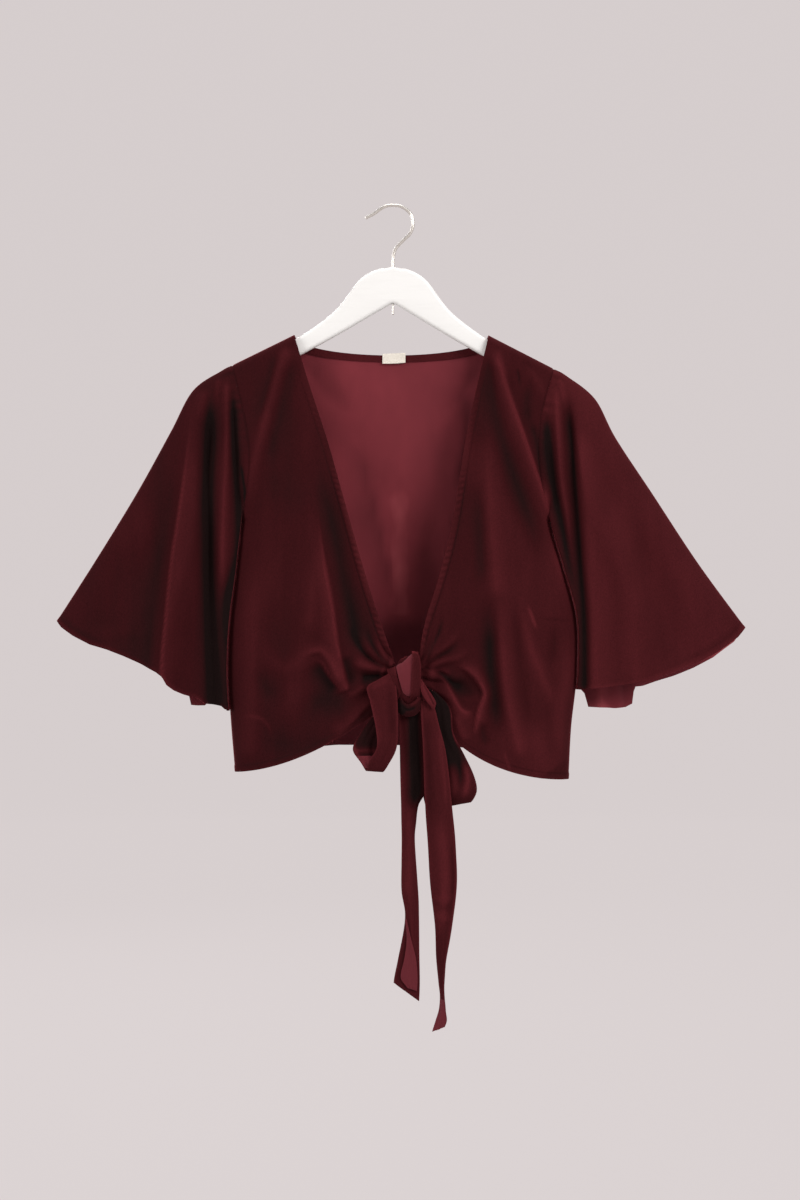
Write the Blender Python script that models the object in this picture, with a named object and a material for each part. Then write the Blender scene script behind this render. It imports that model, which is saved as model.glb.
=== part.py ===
"""Velvet wrap top with a tied front and flutter sleeves, hanging on a wooden hanger.

Left and right are as seen from the front, where -X is left and the front faces -Y. The tables and sizes are in
millimetres and become metres when a mesh is made. The origin is the inner crown of the hanger's hook.

The cloth is one surface of five panels that share the points of their seams. Each panel is then set back from its
seams by half a gap and given its wall along normals that both sides of a seam share, so seams meet flush.
"""

import math
from collections import namedtuple

import bmesh
import bpy
import numpy as np
from mathutils import Vector

MM = 0.001
LEFT, RIGHT = -1, 1
FRONT, BACK = -1, 1

# Cloth
WALL = 2.0
GAP = 0.3
SAME_WAY = 0.05  # seam lines that differ by less than this share count as one line
MERGE = 0.01 * MM

# Grid of the panels: segments
PANEL_COLUMNS = 12
NECK_COLUMNS = 10
ARMHOLE_ROWS = 14
SIDE_ROWS = 14

# Shoulders, over the hanger
NECK_HALF = 107.6
SHOULDER_HALF = 178.0
NECK_Z = -145.4
SHOULDER_SLOPE = 0.49
TILT = 0.011  # the hanger hangs a little lower on the right
ARCH = 10.2
ARCH_FALL = 8.0
NECK_DIP = 18.6
NECK_STAND = 3.5
NECK_FADE = 2.0
RAMP_FALL = 30.0


def shoulder_line(x):
    """Height of the line over both shoulders, carried on across the neck."""
    return NECK_Z - SHOULDER_SLOPE * (abs(x) - NECK_HALF) - TILT * x


# Where the body's table rows stand
UNDERARM = 3.0
HEM = 8.0
ARMHOLE_FLAT = 1.2
SIDE_ROUND = 2.6
COLUMN_ROUND = 0.8

# A row for each course round the body, from the shoulder line to the hem
Course = namedtuple(
    "Course",
    "left_side_x left_side_z left_edge_x left_edge_z right_edge_x right_edge_z "
    "right_side_x right_side_z back_x back_z front back",
)
SHOULDERS = [z for x in (-SHOULDER_HALF, -NECK_HALF, NECK_HALF, SHOULDER_HALF) for z in (x, shoulder_line(x))]
BODY = (
    Course(*SHOULDERS, NECK_HALF, NECK_Z, 0.0, 0.0),
    Course(-164.0, -235.0, -91.0, -203.0, 92.0, -203.0, 163.5, -235.0, 96.0, -200.0, 6.0, 5.0),
    Course(-158.5, -285.0, -73.0, -258.0, 80.0, -260.0, 161.0, -287.0, 84.0, -255.0, 13.0, 11.0),
    Course(-166.5, -350.0, -58.0, -310.0, 72.0, -312.0, 173.0, -350.0, 74.0, -311.0, 20.0, 17.0),
    Course(-173.0, -408.0, -43.0, -364.0, 63.0, -363.0, 189.0, -405.0, 68.0, -368.0, 26.0, 22.0),
    Course(-180.0, -463.0, -28.0, -416.0, 50.0, -413.0, 202.5, -457.0, 64.0, -425.0, 31.0, 26.0),
    Course(-182.0, -518.0, -12.0, -466.0, 35.0, -462.0, 203.0, -520.0, 62.0, -483.0, 35.0, 29.0),
    Course(-179.0, -572.0, 1.4, -507.0, 29.4, -500.0, 197.0, -577.0, 62.0, -541.0, 38.0, 31.0),
    Course(-174.5, -626.0, 0.6, -545.0, 32.0, -532.0, 194.0, -634.0, 62.0, -600.0, 40.0, 32.0),
)

# How far each hem hangs below the straight line between its corners, and where it hangs lowest
Hem = namedtuple("Hem", "sag lowest")
HEMS = {
    (FRONT, LEFT): Hem(16.0, 0.52),
    (FRONT, RIGHT): Hem(38.0, 0.35),
    (BACK, LEFT): Hem(-5.0, 0.5),
    (BACK, RIGHT): Hem(-6.0, 0.5),
}
HEM_FADE = 4.0

# Folds of the fronts and the back: a line in the front view, how wide it is and how far it stands out
Fold = namedtuple("Fold", "top_x top_z low_x low_z reach height")
FOLDS = {
    FRONT: (
        Fold(-93.0, -290.0, -58.0, -560.0, 11.0, 7.0),
        Fold(-75.0, -290.0, -40.0, -520.0, 12.0, -7.0),
        Fold(-118.0, -250.0, -110.0, -610.0, 20.0, -5.0),
        Fold(-142.0, -380.0, -140.0, -640.0, 16.0, 6.0),
        Fold(-100.0, -500.0, -52.0, -538.0, 10.0, 6.0),
        Fold(98.0, -190.0, 92.0, -400.0, 12.0, 5.0),
        Fold(118.0, -230.0, 103.0, -640.0, 11.0, -9.0),
        Fold(128.0, -380.0, 126.0, -650.0, 12.0, 6.0),
        Fold(60.0, -505.0, 88.0, -560.0, 15.0, 9.0),
        Fold(160.0, -400.0, 165.0, -650.0, 14.0, 4.0),
    ),
    BACK: (
        Fold(-95.0, -230.0, -110.0, -640.0, 22.0, 8.0),
        Fold(-52.0, -300.0, -58.0, -640.0, 20.0, -7.0),
        Fold(0.0, -230.0, 4.0, -640.0, 26.0, 6.0),
        Fold(58.0, -300.0, 66.0, -640.0, 20.0, -7.0),
        Fold(98.0, -230.0, 116.0, -640.0, 22.0, 8.0),
    ),
}

# Gathers that run out of the knot
KNOT_X, KNOT_Z = 15.5, -520.0
GATHERS = 14
GATHER_NEAR, GATHER_FAR = 16.0, 90.0
GATHER_HEIGHT = 3.5

# A row for each ring down a sleeve, from the armhole to the hem
Ring = namedtuple("Ring", "ridge_x ridge_z under_x under_z depth")
SLEEVES = {
    LEFT: (
        Ring(-SHOULDER_HALF, shoulder_line(-SHOULDER_HALF), -166.5, -350.0, 20.0),
        Ring(-190.0, -182.5, -172.0, -350.5, 19.0),
        Ring(-221.5, -204.5, -177.5, -366.0, 20.0),
        Ring(-246.0, -250.0, -179.5, -402.0, 22.0),
        Ring(-283.0, -317.0, -185.5, -448.0, 25.0),
        Ring(-327.0, -389.0, -188.5, -504.0, 27.0),
        Ring(-372.0, -459.5, -186.0, -559.0, 28.0),
    ),
    RIGHT: (
        Ring(SHOULDER_HALF, shoulder_line(SHOULDER_HALF), 173.0, -350.0, 20.0),
        Ring(192.0, -188.0, 178.5, -351.0, 19.0),
        Ring(223.5, -213.5, 185.0, -368.0, 20.0),
        Ring(246.5, -257.0, 193.0, -400.0, 22.0),
        Ring(288.0, -320.0, 206.0, -444.0, 25.0),
        Ring(338.0, -396.0, 210.0, -492.0, 27.0),
        Ring(390.0, -467.0, 206.0, -535.0, 28.0),
    ),
}
SLEEVE_ROWS = (0.0, 0.5, 1.0, 1.5, 1.9, 2.3, 2.9, 3.4, 3.9, 4.4, 4.8, 5.2, 5.6, 6.0)
SLEEVE_HEM = 6.0
ARMHOLE_BLEND = 1.6
SLEEVE_ROUND = 0.4

# Where a sleeve's hem hangs below a straight line from its tip to its underarm corner. A higher power is boxier
Drop = namedtuple("Drop", "at reach sag power")
DROPS = {
    (LEFT, FRONT): (Drop(0.15, 0.12, 7.0, 2), Drop(0.50, 0.08, -5.0, 2), Drop(0.68, 0.08, 11.0, 2)),
    (LEFT, BACK): (Drop(0.50, 0.25, 5.0, 2), Drop(0.84, 0.14, 19.0, 4)),
    (RIGHT, FRONT): (Drop(0.25, 0.20, 7.0, 2), Drop(0.48, 0.33, 19.0, 2)),
    (RIGHT, BACK): (Drop(0.48, 0.33, 19.0, 2), Drop(0.765, 0.10, 44.0, 6)),
}

# How the inner fold of a sleeve laps over the body's side: sideways and outwards
Lap = namedtuple("Lap", "sideways outwards")
LAPS = {
    (LEFT, FRONT): Lap(27.0, 12.0),
    (LEFT, BACK): Lap(14.0, 6.0),
    (RIGHT, FRONT): Lap(14.0, 6.0),
    (RIGHT, BACK): Lap(27.0, 12.0),
}
LAP_AT = 0.90
LAP_REACH = 0.07
LAP_FULL = 3.0

# Flutes of the sleeves: share of the way from the ridge to the underarm, at the armhole and at the hem
Flute = namedtuple("Flute", "at_top at_hem reach height")
FLUTES = {
    (LEFT, FRONT): (
        Flute(0.35, 0.25, 0.13, -7.0),
        Flute(0.50, 0.60, 0.10, 11.0),
        Flute(0.70, 0.78, 0.07, -12.0),
    ),
    (LEFT, BACK): (
        Flute(0.30, 0.30, 0.12, -8.0),
        Flute(0.52, 0.50, 0.12, 10.0),
        Flute(0.74, 0.72, 0.10, -9.0),
    ),
    (RIGHT, FRONT): (
        Flute(0.30, 0.28, 0.13, -6.0),
        Flute(0.48, 0.50, 0.12, 8.0),
        Flute(0.66, 0.72, 0.09, -10.0),
    ),
    (RIGHT, BACK): (
        Flute(0.28, 0.26, 0.12, -8.0),
        Flute(0.50, 0.50, 0.12, 9.0),
        Flute(0.70, 0.70, 0.09, -8.0),
    ),
}

# Neck band and label, both on the inside of the back
BAND_WALL = 1.0
BAND_STAND = 2.5
LABEL_WALL = 0.8
LABEL_WIDTH = 27.0
LABEL_HEIGHT = 11.5
LABEL_X = 1.1
LABEL_Z = -163.6

# Ties: a row for each section, with the width's heading in the plan view and its slope in the front view
Section = namedtuple("Section", "x y z width heading slope")
TIE_WALL = 2.4
TIE_SEGMENTS_ACROSS = 3
TIE_CROWN = 1.2
TIES = {
    "tie_tail_left": (
        Section(18.6, -56.0, -557.4, 20.0, 0, 0),
        Section(19.2, -55.0, -600.0, 22.5, 8, 0),
        Section(18.7, -53.0, -666.0, 19.5, 18, 0),
        Section(17.0, -52.0, -700.0, 15.5, 24, 0),
        Section(18.2, -51.0, -749.0, 18.0, 12, 0),
        Section(21.0, -50.0, -782.0, 16.0, -14, 0),
        Section(16.6, -50.0, -830.0, 25.0, -6, -12),
        Section(14.6, -50.0, -866.0, 35.5, 0, -34),
    ),
    "tie_tail_right": (
        Section(36.9, -60.5, -546.0, 13.0, 10, 0),
        Section(40.5, -63.0, -572.0, 18.5, 10, 0),
        Section(45.5, -63.0, -605.0, 25.0, 6, 0),
        Section(49.5, -62.0, -659.0, 29.0, 4, 0),
        Section(53.0, -60.0, -700.0, 30.0, -4, 0),
        Section(55.2, -58.0, -744.0, 29.0, -10, 0),
        Section(55.2, -57.0, -790.0, 20.5, -30, 0),
        Section(53.0, -56.0, -826.0, 14.0, -42, 0),
        Section(53.2, -56.0, -852.0, 10.0, -56, 0),
        Section(54.0, -56.0, -868.0, 8.0, -62, 0),
        Section(54.2, -56.0, -882.0, 8.0, -34, 0),
        Section(52.6, -56.0, -894.0, 12.5, -12, 12),
        Section(49.6, -56.0, -903.0, 14.0, 0, 22),
    ),
    "tie_loop_left": (
        Section(-1.2, -59.5, -516.5, 6.0, 0, 8),
        Section(-6.3, -61.5, -522.5, 19.0, 0, 4),
        Section(-12.2, -63.5, -531.0, 31.6, 0, 0),
        Section(-9.8, -66.0, -546.5, 29.5, 0, 0),
        Section(-6.5, -68.5, -574.0, 24.0, 0, 0),
        Section(-6.8, -68.5, -596.0, 21.0, 0, -4),
        Section(-15.0, -67.0, -612.0, 22.0, 0, -4),
        Section(-20.0, -62.0, -621.5, 18.0, 0, -4),
        Section(-25.0, -56.5, -613.0, 20.0, 0, -2),
        Section(-29.5, -54.5, -597.0, 28.0, 0, 6),
        Section(-23.0, -55.5, -578.0, 27.0, -4, 18),
        Section(-13.0, -57.0, -560.0, 22.0, 0, 20),
    ),
    "tie_loop_right": (
        Section(35.6, -53.5, -540.0, 8.0, 0, -30),
        Section(43.8, -54.0, -553.0, 19.0, 0, -20),
        Section(51.5, -54.0, -578.0, 23.0, 0, -10),
        Section(62.0, -55.0, -606.0, 31.0, 0, -2),
        Section(71.5, -56.0, -634.0, 42.0, 0, 8),
        Section(69.0, -54.0, -652.0, 42.0, 0, 10),
        Section(62.0, -49.0, -660.0, 46.0, 0, 10),
        Section(57.0, -44.0, -652.0, 46.0, 0, 10),
        Section(49.0, -41.5, -622.0, 38.0, 0, 4),
        Section(43.0, -41.0, -585.0, 24.0, 0, 0),
    ),
}
TIE_STEPS = 3

# Knot: a row for each level, a rounded section with a spiral wrap
Level = namedtuple("Level", "z x y half_width half_depth")
KNOT = (
    Level(-496.0, 18.8, -54.0, 5.0, 5.0),
    Level(-501.0, 17.2, -54.5, 10.5, 9.5),
    Level(-512.0, 16.2, -55.0, 12.6, 12.0),
    Level(-527.0, 16.2, -55.0, 13.0, 12.5),
    Level(-540.0, 16.8, -55.5, 12.8, 12.0),
    Level(-550.0, 18.4, -55.5, 11.0, 10.0),
    Level(-556.5, 19.0, -55.5, 8.5, 6.5),
)
KNOT_SIDES = 16
KNOT_SQUARE = 0.8
WRAP_DEPTH = 0.05

# Hanger
HANGER_THICK = 11.0
HANGER_EDGE = 4.0
HANGER_CLEAR = 2.6
HANGER_BEND = 184.0
HANGER_NECK_CLEAR = 4.8
HANGER_NECK_FADE = 14.0
# Upper outline of one arm from the hook to the shoulder, then its lower outline back to the middle
ARM_TOP = ((15.0, -69.0), (26.0, -73.2), (35.0, -79.4), (42.0, -87.0), (49.0, -97.0), (62.0, -113.5), (80.0, -129.0))
ARM_END = ((205.0, -198.0), (213.5, -204.5), (216.5, -211.0), (214.0, -217.0), (206.0, -217.5))
ARM_UNDER = ((150.0, -190.5), (104.0, -166.5), (59.0, -141.5), (20.0, -117.0), (0.0, -107.5))

# Hook
WIRE = 3.6
BORE_CLEAR = 0.4
BORE_TOP_Z, BORE_FOOT_Z = -48.0, -128.0
HOOK_FOOT_Z = -110.0
Bend = namedtuple("Bend", "x z")
HOOK = (
    Bend(0.0, HOOK_FOOT_Z),
    Bend(0.0, -90.0),
    Bend(0.0, -67.0),
    Bend(0.6, -54.0),
    Bend(3.6, -45.5),
    Bend(11.5, -37.0),
    Bend(19.0, -29.5),
    Bend(22.2, -20.0),
    Bend(20.6, -9.5),
    Bend(15.0, -3.0),
    Bend(8.0, 0.8),
    Bend(0.0, 1.8),
    Bend(-7.8, 0.9),
    Bend(-14.5, -2.6),
    Bend(-21.0, -7.4),
    Bend(-30.5, -12.4),
)
HOOK_STEPS = 3

Finish = namedtuple("Finish", "colour roughness metallic")
VELVET = Finish((0.055, 0.006, 0.010), 0.85, 0.0)
WOVEN = Finish((0.88, 0.83, 0.72), 0.8, 0.0)
LACQUER = Finish((0.86, 0.85, 0.83), 0.4, 0.0)
CHROME = Finish((0.75, 0.75, 0.76), 0.2, 1.0)


def smooth_row(table, place):
    """Read a table between its rows, along a smooth curve through them."""
    rows = np.array(table, dtype=float)
    last = len(rows) - 1
    start = min(int(min(max(place, 0.0), last)), last - 1)
    share = min(max(place, 0.0), last) - start
    here, there = rows[start], rows[start + 1]
    before = rows[start - 1] if start > 0 else 2 * here - there
    after = rows[start + 2] if start + 2 <= last else 2 * there - here
    leave, arrive = (there - before) / 2, (after - here) / 2
    square, cube = share**2, share**3
    return (
        (2 * cube - 3 * square + 1) * here
        + (cube - 2 * square + share) * leave
        + (3 * square - 2 * cube) * there
        + (cube - square) * arrive
    )


def arch_depth(fall):
    """How far the cloth stands out from the shoulder line as it bends down over the hanger."""
    share = min(max(fall / ARCH_FALL, 0.0), 1.0)
    return ARCH * math.sqrt(1 - (1 - share) ** 2)


def armhole_close(place):
    """1 where a panel lies flat out to the armhole, falling to 0 at the underarm and below it."""
    share = (place - ARMHOLE_FLAT) / (UNDERARM - ARMHOLE_FLAT)
    share = min(max(share, 0.0), 1.0)
    return math.sqrt(1 - share**2)


def side_round(course, x, edge):
    """1 in the middle of the body, rounding off to the edge's own value at its sides."""
    middle = (course.left_side_x + course.right_side_x) / 2
    half = (course.right_side_x - course.left_side_x) / 2
    share = min(abs(x - middle) / half, 1.0) ** SIDE_ROUND
    return (1 - share + share * edge**SIDE_ROUND) ** (1 / SIDE_ROUND)


def fold_height(x, z, folds):
    """How far the named folds lift the cloth at a point of the front view."""
    height = 0.0
    for fold in folds:
        run = Vector((fold.low_x - fold.top_x, fold.low_z - fold.top_z))
        reach = Vector((x - fold.top_x, z - fold.top_z))
        along = reach.dot(run) / run.length_squared
        if 0 < along < 1:
            away = abs(reach.x * run.y - reach.y * run.x) / run.length
            ends = math.sqrt(math.sin(math.pi * along))
            height += fold.height * ends * math.exp(-((away / fold.reach) ** 2))
    return height


def gather_height(x, z):
    """Ripples that run out of the knot and die away."""
    distance = math.hypot(x - KNOT_X, z - KNOT_Z)
    if not GATHER_NEAR < distance < GATHER_FAR:
        return 0.0
    share = (distance - GATHER_NEAR) / (GATHER_FAR - GATHER_NEAR)
    return GATHER_HEIGHT * math.sin(math.pi * share) * math.cos(GATHERS * math.atan2(z - KNOT_Z, x - KNOT_X))


def hem_sag(layer, side, place, across):
    """How far a point hangs below the straight line of its course."""
    hem = HEMS[layer, side]
    warp = across ** (math.log(0.5) / math.log(hem.lowest))
    return hem.sag * 4 * warp * (1 - warp) * (place / HEM) ** HEM_FADE


def body_point(layer, place, x, z, stand=0.0):
    """A point of the body's surface, from its place in the front view. It may stand out by a little more."""
    course = Course(*smooth_row(BODY, place))
    fall = shoulder_line(x) - z
    spread = side_round(course, x, armhole_close(place))
    depth = arch_depth(fall) + stand + (course.front if layer == FRONT else course.back)
    lift = fold_height(x, z, FOLDS[layer]) * min(max(fall / RAMP_FALL, 0.0), 1.0)
    if layer == FRONT:
        lift += gather_height(x, z)
    return np.array((x, layer * (depth + lift) * spread, z))


def column_share(column):
    """Share of the way from the free edge to the side, with the columns closer together at the side."""
    return math.sin(math.pi / 2 * column / PANEL_COLUMNS) ** COLUMN_ROUND


def side_seam(course, side):
    """The end of a course at the body's side, in the front view."""
    if side == LEFT:
        return course.left_side_x, course.left_side_z
    return course.right_side_x, course.right_side_z


def free_edge(course, side):
    """The end of a course at a front's free edge, in the front view."""
    if side == LEFT:
        return course.left_edge_x, course.left_edge_z
    return course.right_edge_x, course.right_edge_z


def front_point(side, place, across):
    """A point of a front panel: across runs from its free edge to its side."""
    course = Course(*smooth_row(BODY, place))
    edge, seam = free_edge(course, side), side_seam(course, side)
    x = edge[0] + (seam[0] - edge[0]) * across
    z = edge[1] + (seam[1] - edge[1]) * across - hem_sag(FRONT, side, place, across)
    return body_point(FRONT, place, x, z)


def back_point(place, column):
    """A point of the back. Columns count from the left side, over the neck, to the right side."""
    course = Course(*smooth_row(BODY, place))
    stand = 0.0
    if column < PANEL_COLUMNS or column > PANEL_COLUMNS + NECK_COLUMNS:
        side = LEFT if column < PANEL_COLUMNS else RIGHT
        from_side = column if side == LEFT else 2 * PANEL_COLUMNS + NECK_COLUMNS - column
        across = column_share(PANEL_COLUMNS - from_side)
        seam = side_seam(course, side)
        x = side * course.back_x + (seam[0] - side * course.back_x) * across
        guide_z = course.back_z - TILT * side * course.back_x
        z = guide_z + (seam[1] - guide_z) * across - hem_sag(BACK, side, place, across)
    else:
        turn = math.pi * (column - PANEL_COLUMNS) / NECK_COLUMNS
        fade = max(1 - place / NECK_FADE, 0.0) ** 2
        x = -course.back_x * math.cos(turn)
        z = course.back_z - TILT * x - NECK_DIP * math.sin(turn) * fade
        stand = NECK_STAND * math.sqrt(max(math.sin(turn), 0.0)) * fade
    return body_point(BACK, place, x, z, stand)


def armhole_place(step):
    """Where a row of the armhole stands, with the rows closer together at the shoulder and the underarm."""
    return UNDERARM * (1 - math.cos(math.pi * step / ARMHOLE_ROWS)) / 2


def body_places():
    """Where the rows of the body panels stand, from the shoulder line to the hem."""
    side = [UNDERARM + (HEM - UNDERARM) * step / SIDE_ROWS for step in range(1, SIDE_ROWS + 1)]
    return [armhole_place(step) for step in range(ARMHOLE_ROWS + 1)] + side


def sleeve_point(side, layer, place, step):
    """A point of a sleeve. Steps run from the ridge to the underarm, as the armhole's rows do."""
    across = (1 - math.cos(math.pi * step / ARMHOLE_ROWS)) / 2
    hang = place / SLEEVE_HEM

    def plain(place):
        ring = Ring(*smooth_row(SLEEVES[side], place))
        x = ring.ridge_x + (ring.under_x - ring.ridge_x) * across
        z = ring.ridge_z + (ring.under_z - ring.ridge_z) * across
        return np.array((x, layer * ring.depth * (4 * across * (1 - across)) ** SLEEVE_ROUND, z))

    if layer == FRONT:
        armhole = front_point(side, armhole_place(step), 1.0)
    else:
        armhole = back_point(armhole_place(step), 0 if side == LEFT else 2 * PANEL_COLUMNS + NECK_COLUMNS)
    point = plain(place) + (armhole - plain(0.0)) * max(1 - place / ARMHOLE_BLEND, 0.0) ** 2
    lift = 0.0
    for flute in FLUTES[side, layer]:
        centre = flute.at_top + (flute.at_hem - flute.at_top) * hang
        lift += flute.height * math.exp(-(((across - centre) / flute.reach) ** 2))
    lift *= math.sin(math.pi * across) ** 0.5 * hang
    lap = LAPS[side, layer]
    fold = math.exp(-(((across - LAP_AT) / LAP_REACH) ** 2)) * min(place / LAP_FULL, 1.0)
    if step == ARMHOLE_ROWS:
        fold = 0.0
    lift += lap.outwards * fold
    sag = 0.0
    for drop in DROPS[side, layer]:
        sag += drop.sag * math.exp(-((abs(across - drop.at) / drop.reach) ** drop.power))
    sag *= math.sin(math.pi * across) ** 0.5 * hang**3
    return point + np.array((-side * lap.sideways * fold, layer * lift, -sag))


def panels():
    """The rows of points of every panel's middle surface, by the panel's name."""
    places = body_places()
    points = {}
    for name, side in (("front_left", LEFT), ("front_right", RIGHT)):
        shares = [column_share(column) for column in range(PANEL_COLUMNS + 1)]
        points[name] = [[front_point(side, place, across) for across in shares] for place in places]
    columns = range(2 * PANEL_COLUMNS + NECK_COLUMNS + 1)
    points["back"] = [[back_point(place, column) for column in columns] for place in places]
    for name, side in (("sleeve_left", LEFT), ("sleeve_right", RIGHT)):
        around = [(FRONT, step) for step in range(ARMHOLE_ROWS, 0, -1)]
        around += [(BACK, step) for step in range(ARMHOLE_ROWS + 1)]
        points[name] = []
        for place in SLEEVE_ROWS:
            points[name].append([sleeve_point(side, layer, place, step) for layer, step in around])
    return points


def add_grid(mesh, rows, owner, tag):
    """Add a grid to the mesh, moved to the rows of points, with its faces tagged."""
    down, across = len(rows) - 1, len(rows[0]) - 1
    grid = bmesh.ops.create_grid(mesh, x_segments=across, y_segments=down, size=0.5)
    faces = {face for vert in grid["verts"] for face in vert.link_faces}
    for vert in grid["verts"]:
        column = round((vert.co.x + 0.5) * across)
        row = round((vert.co.y + 0.5) * down)
        vert.co = Vector(rows[row][column]) * MM
    for face in faces:
        face[owner] = tag


def cloth_surface(points):
    """One open surface of all the panels, welded at the seams and facing out."""
    mesh = bmesh.new()
    owner = mesh.faces.layers.int.new("panel")
    for tag, rows in enumerate(points.values()):
        add_grid(mesh, rows, owner, tag)
    bmesh.ops.remove_doubles(mesh, verts=mesh.verts, dist=MERGE)
    bmesh.ops.recalc_face_normals(mesh, faces=mesh.faces)
    mesh.normal_update()
    front = [face for face in mesh.faces if face[owner] == 0]
    if sum(face.normal.y for face in front) > 0:
        bmesh.ops.reverse_faces(mesh, faces=mesh.faces)
        mesh.normal_update()
    return mesh, owner


def set_back(vert, owner, tag):
    """The small move that takes a panel's point half a gap away from the seams it lies on."""
    ways, amounts = [vert.normal], [0.0]
    for edge in vert.link_edges:
        own = [face for face in edge.link_faces if face[owner] == tag]
        if len(own) != 1:
            continue
        along = (edge.verts[1].co - edge.verts[0].co).normalized()
        inward = along.cross(vert.normal).normalized()
        if inward.dot(own[0].calc_center_median() - vert.co) < 0:
            inward = -inward
        ways.append(inward)
        amounts.append(GAP / 2 * MM if len(edge.link_faces) > 1 else 0.0)
    if max(amounts) == 0.0:
        return Vector((0.0, 0.0, 0.0))
    return Vector(np.linalg.pinv(np.array(ways), rcond=SAME_WAY) @ np.array(amounts))


def thicken(mesh, leans, wall):
    """Give an open surface its wall, half to each side, along a lean for each of its points."""
    spots = {vert: vert.co.copy() for vert in mesh.verts}
    keep = {tuple(spot): leans[vert] for vert, spot in spots.items()}
    grown = bmesh.ops.extrude_face_region(mesh, geom=mesh.faces[:], use_keep_orig=True)
    inner = {item for item in grown["geom"] if isinstance(item, bmesh.types.BMVert)}
    for vert in mesh.verts:
        lean = keep[tuple(vert.co)]
        vert.co += lean * (-wall / 2 if vert in inner else wall / 2) * MM
    bmesh.ops.recalc_face_normals(mesh, faces=mesh.faces)


def make_material(name, finish):
    """A plain material of the piece's own."""
    material = bpy.data.materials.new(name)
    material.use_nodes = True
    shader = material.node_tree.nodes["Principled BSDF"]
    shader.inputs["Base Color"].default_value = (*finish.colour, 1.0)
    shader.inputs["Roughness"].default_value = finish.roughness
    shader.inputs["Metallic"].default_value = finish.metallic
    return material


def add_object(name, mesh, finish, collection):
    """Turn a bmesh into a named object with its material."""
    data = bpy.data.meshes.new(name)
    mesh.to_mesh(data)
    mesh.free()
    thing = bpy.data.objects.new(name, data)
    data.materials.append(make_material(name, finish))
    collection.objects.link(thing)
    return thing


def make_cloth(points, collection):
    """Cut the cloth surface into its panels and give each one its wall."""
    surface, owner = cloth_surface(points)
    for tag, name in enumerate(points):
        moves = {}
        for vert in surface.verts:
            if any(face[owner] == tag for face in vert.link_faces):
                moves[vert.index] = (set_back(vert, owner, tag), vert.normal.copy())
        panel = surface.copy()
        layer = panel.faces.layers.int["panel"]
        leans = {}
        panel.verts.ensure_lookup_table()
        for index, (move, normal) in moves.items():
            panel.verts[index].co += move
            leans[panel.verts[index]] = normal
        strange = [face for face in panel.faces if face[layer] != tag]
        bmesh.ops.delete(panel, geom=strange, context="FACES")
        thicken(panel, leans, WALL)
        bmesh.ops.triangulate(panel, faces=panel.faces)
        add_object(name, panel, VELVET, collection)
    surface.free()


def strip(rows, wall):
    """A closed wall on a grid of points, with its own normals."""
    mesh = bmesh.new()
    owner = mesh.faces.layers.int.new("panel")
    add_grid(mesh, rows, owner, 0)
    mesh.normal_update()
    thicken(mesh, {vert: vert.normal.copy() for vert in mesh.verts}, wall)
    return mesh


def make_neck_band(points, collection):
    """The band inside the back neck, on the first rows of the back's neck columns, moved in."""
    rows = points["back"][:3]
    first = PANEL_COLUMNS + 1
    inset = np.array((0.0, -BAND_STAND, 0.0))
    band = [[point + inset for point in row[first : first + NECK_COLUMNS - 1]] for row in rows]
    add_object("neck_band", strip(band, BAND_WALL), VELVET, collection)


def make_label(points, collection):
    """The woven label over the middle of the band."""
    middle = points["back"][1][PANEL_COLUMNS + NECK_COLUMNS // 2]
    y = middle[1] - BAND_STAND - BAND_WALL / 2 - GAP - LABEL_WALL / 2
    half = LABEL_WIDTH / 2
    rows = []
    for down in (0, 0.5, 1):
        rows.append([(LABEL_X + half * way, y, LABEL_Z - LABEL_HEIGHT * down) for way in (-1, 0, 1)])
    add_object("label", strip(rows, LABEL_WALL), WOVEN, collection)


def make_tie(name, table, collection):
    """A flat band swept through its sections."""
    count = (len(table) - 1) * TIE_STEPS
    rows = []
    for step in range(count + 1):
        section = Section(*smooth_row(table, step / TIE_STEPS))
        heading, slope = math.radians(section.heading), math.radians(section.slope)
        wide = np.array(
            (math.cos(heading) * math.cos(slope), math.sin(heading) * math.cos(slope), math.sin(slope))
        )
        centre = np.array((section.x, section.y, section.z))
        shares = [2 * column / TIE_SEGMENTS_ACROSS - 1 for column in range(TIE_SEGMENTS_ACROSS + 1)]
        crown = np.array((0.0, -TIE_CROWN, 0.0))
        rows.append([centre + wide * section.width / 2 * share + crown * (1 - share**2) for share in shares])
    add_object(name, strip(rows, TIE_WALL), VELVET, collection)


def squared(share):
    """A sine or cosine drawn out, so that a ring made with it is a rounded square."""
    return math.copysign(abs(share) ** KNOT_SQUARE, share)


def make_knot(collection):
    """The knot: rounded levels with a spiral wrap, bridged and capped."""
    mesh = bmesh.new()
    rings = []
    for number, level in enumerate(KNOT):
        ring = []
        for side in range(KNOT_SIDES):
            turn = 2 * math.pi * side / KNOT_SIDES
            wrap = 1 - WRAP_DEPTH * math.sin(2 * turn + number)
            if number in (0, len(KNOT) - 1):
                wrap = 1.0
            x = level.x + level.half_width * wrap * squared(math.cos(turn))
            y = level.y + level.half_depth * wrap * squared(math.sin(turn))
            ring.append(mesh.verts.new((x * MM, y * MM, level.z * MM)))
        rings.append([mesh.edges.new((ring[side], ring[side - 1])) for side in range(KNOT_SIDES)])
    for upper, lower in zip(rings, rings[1:]):
        bmesh.ops.bridge_loops(mesh, edges=upper + lower)
    bmesh.ops.contextual_create(mesh, geom=rings[0])
    bmesh.ops.contextual_create(mesh, geom=rings[-1])
    bmesh.ops.recalc_face_normals(mesh, faces=mesh.faces)
    add_object("tie_knot", mesh, VELVET, collection)


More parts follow.
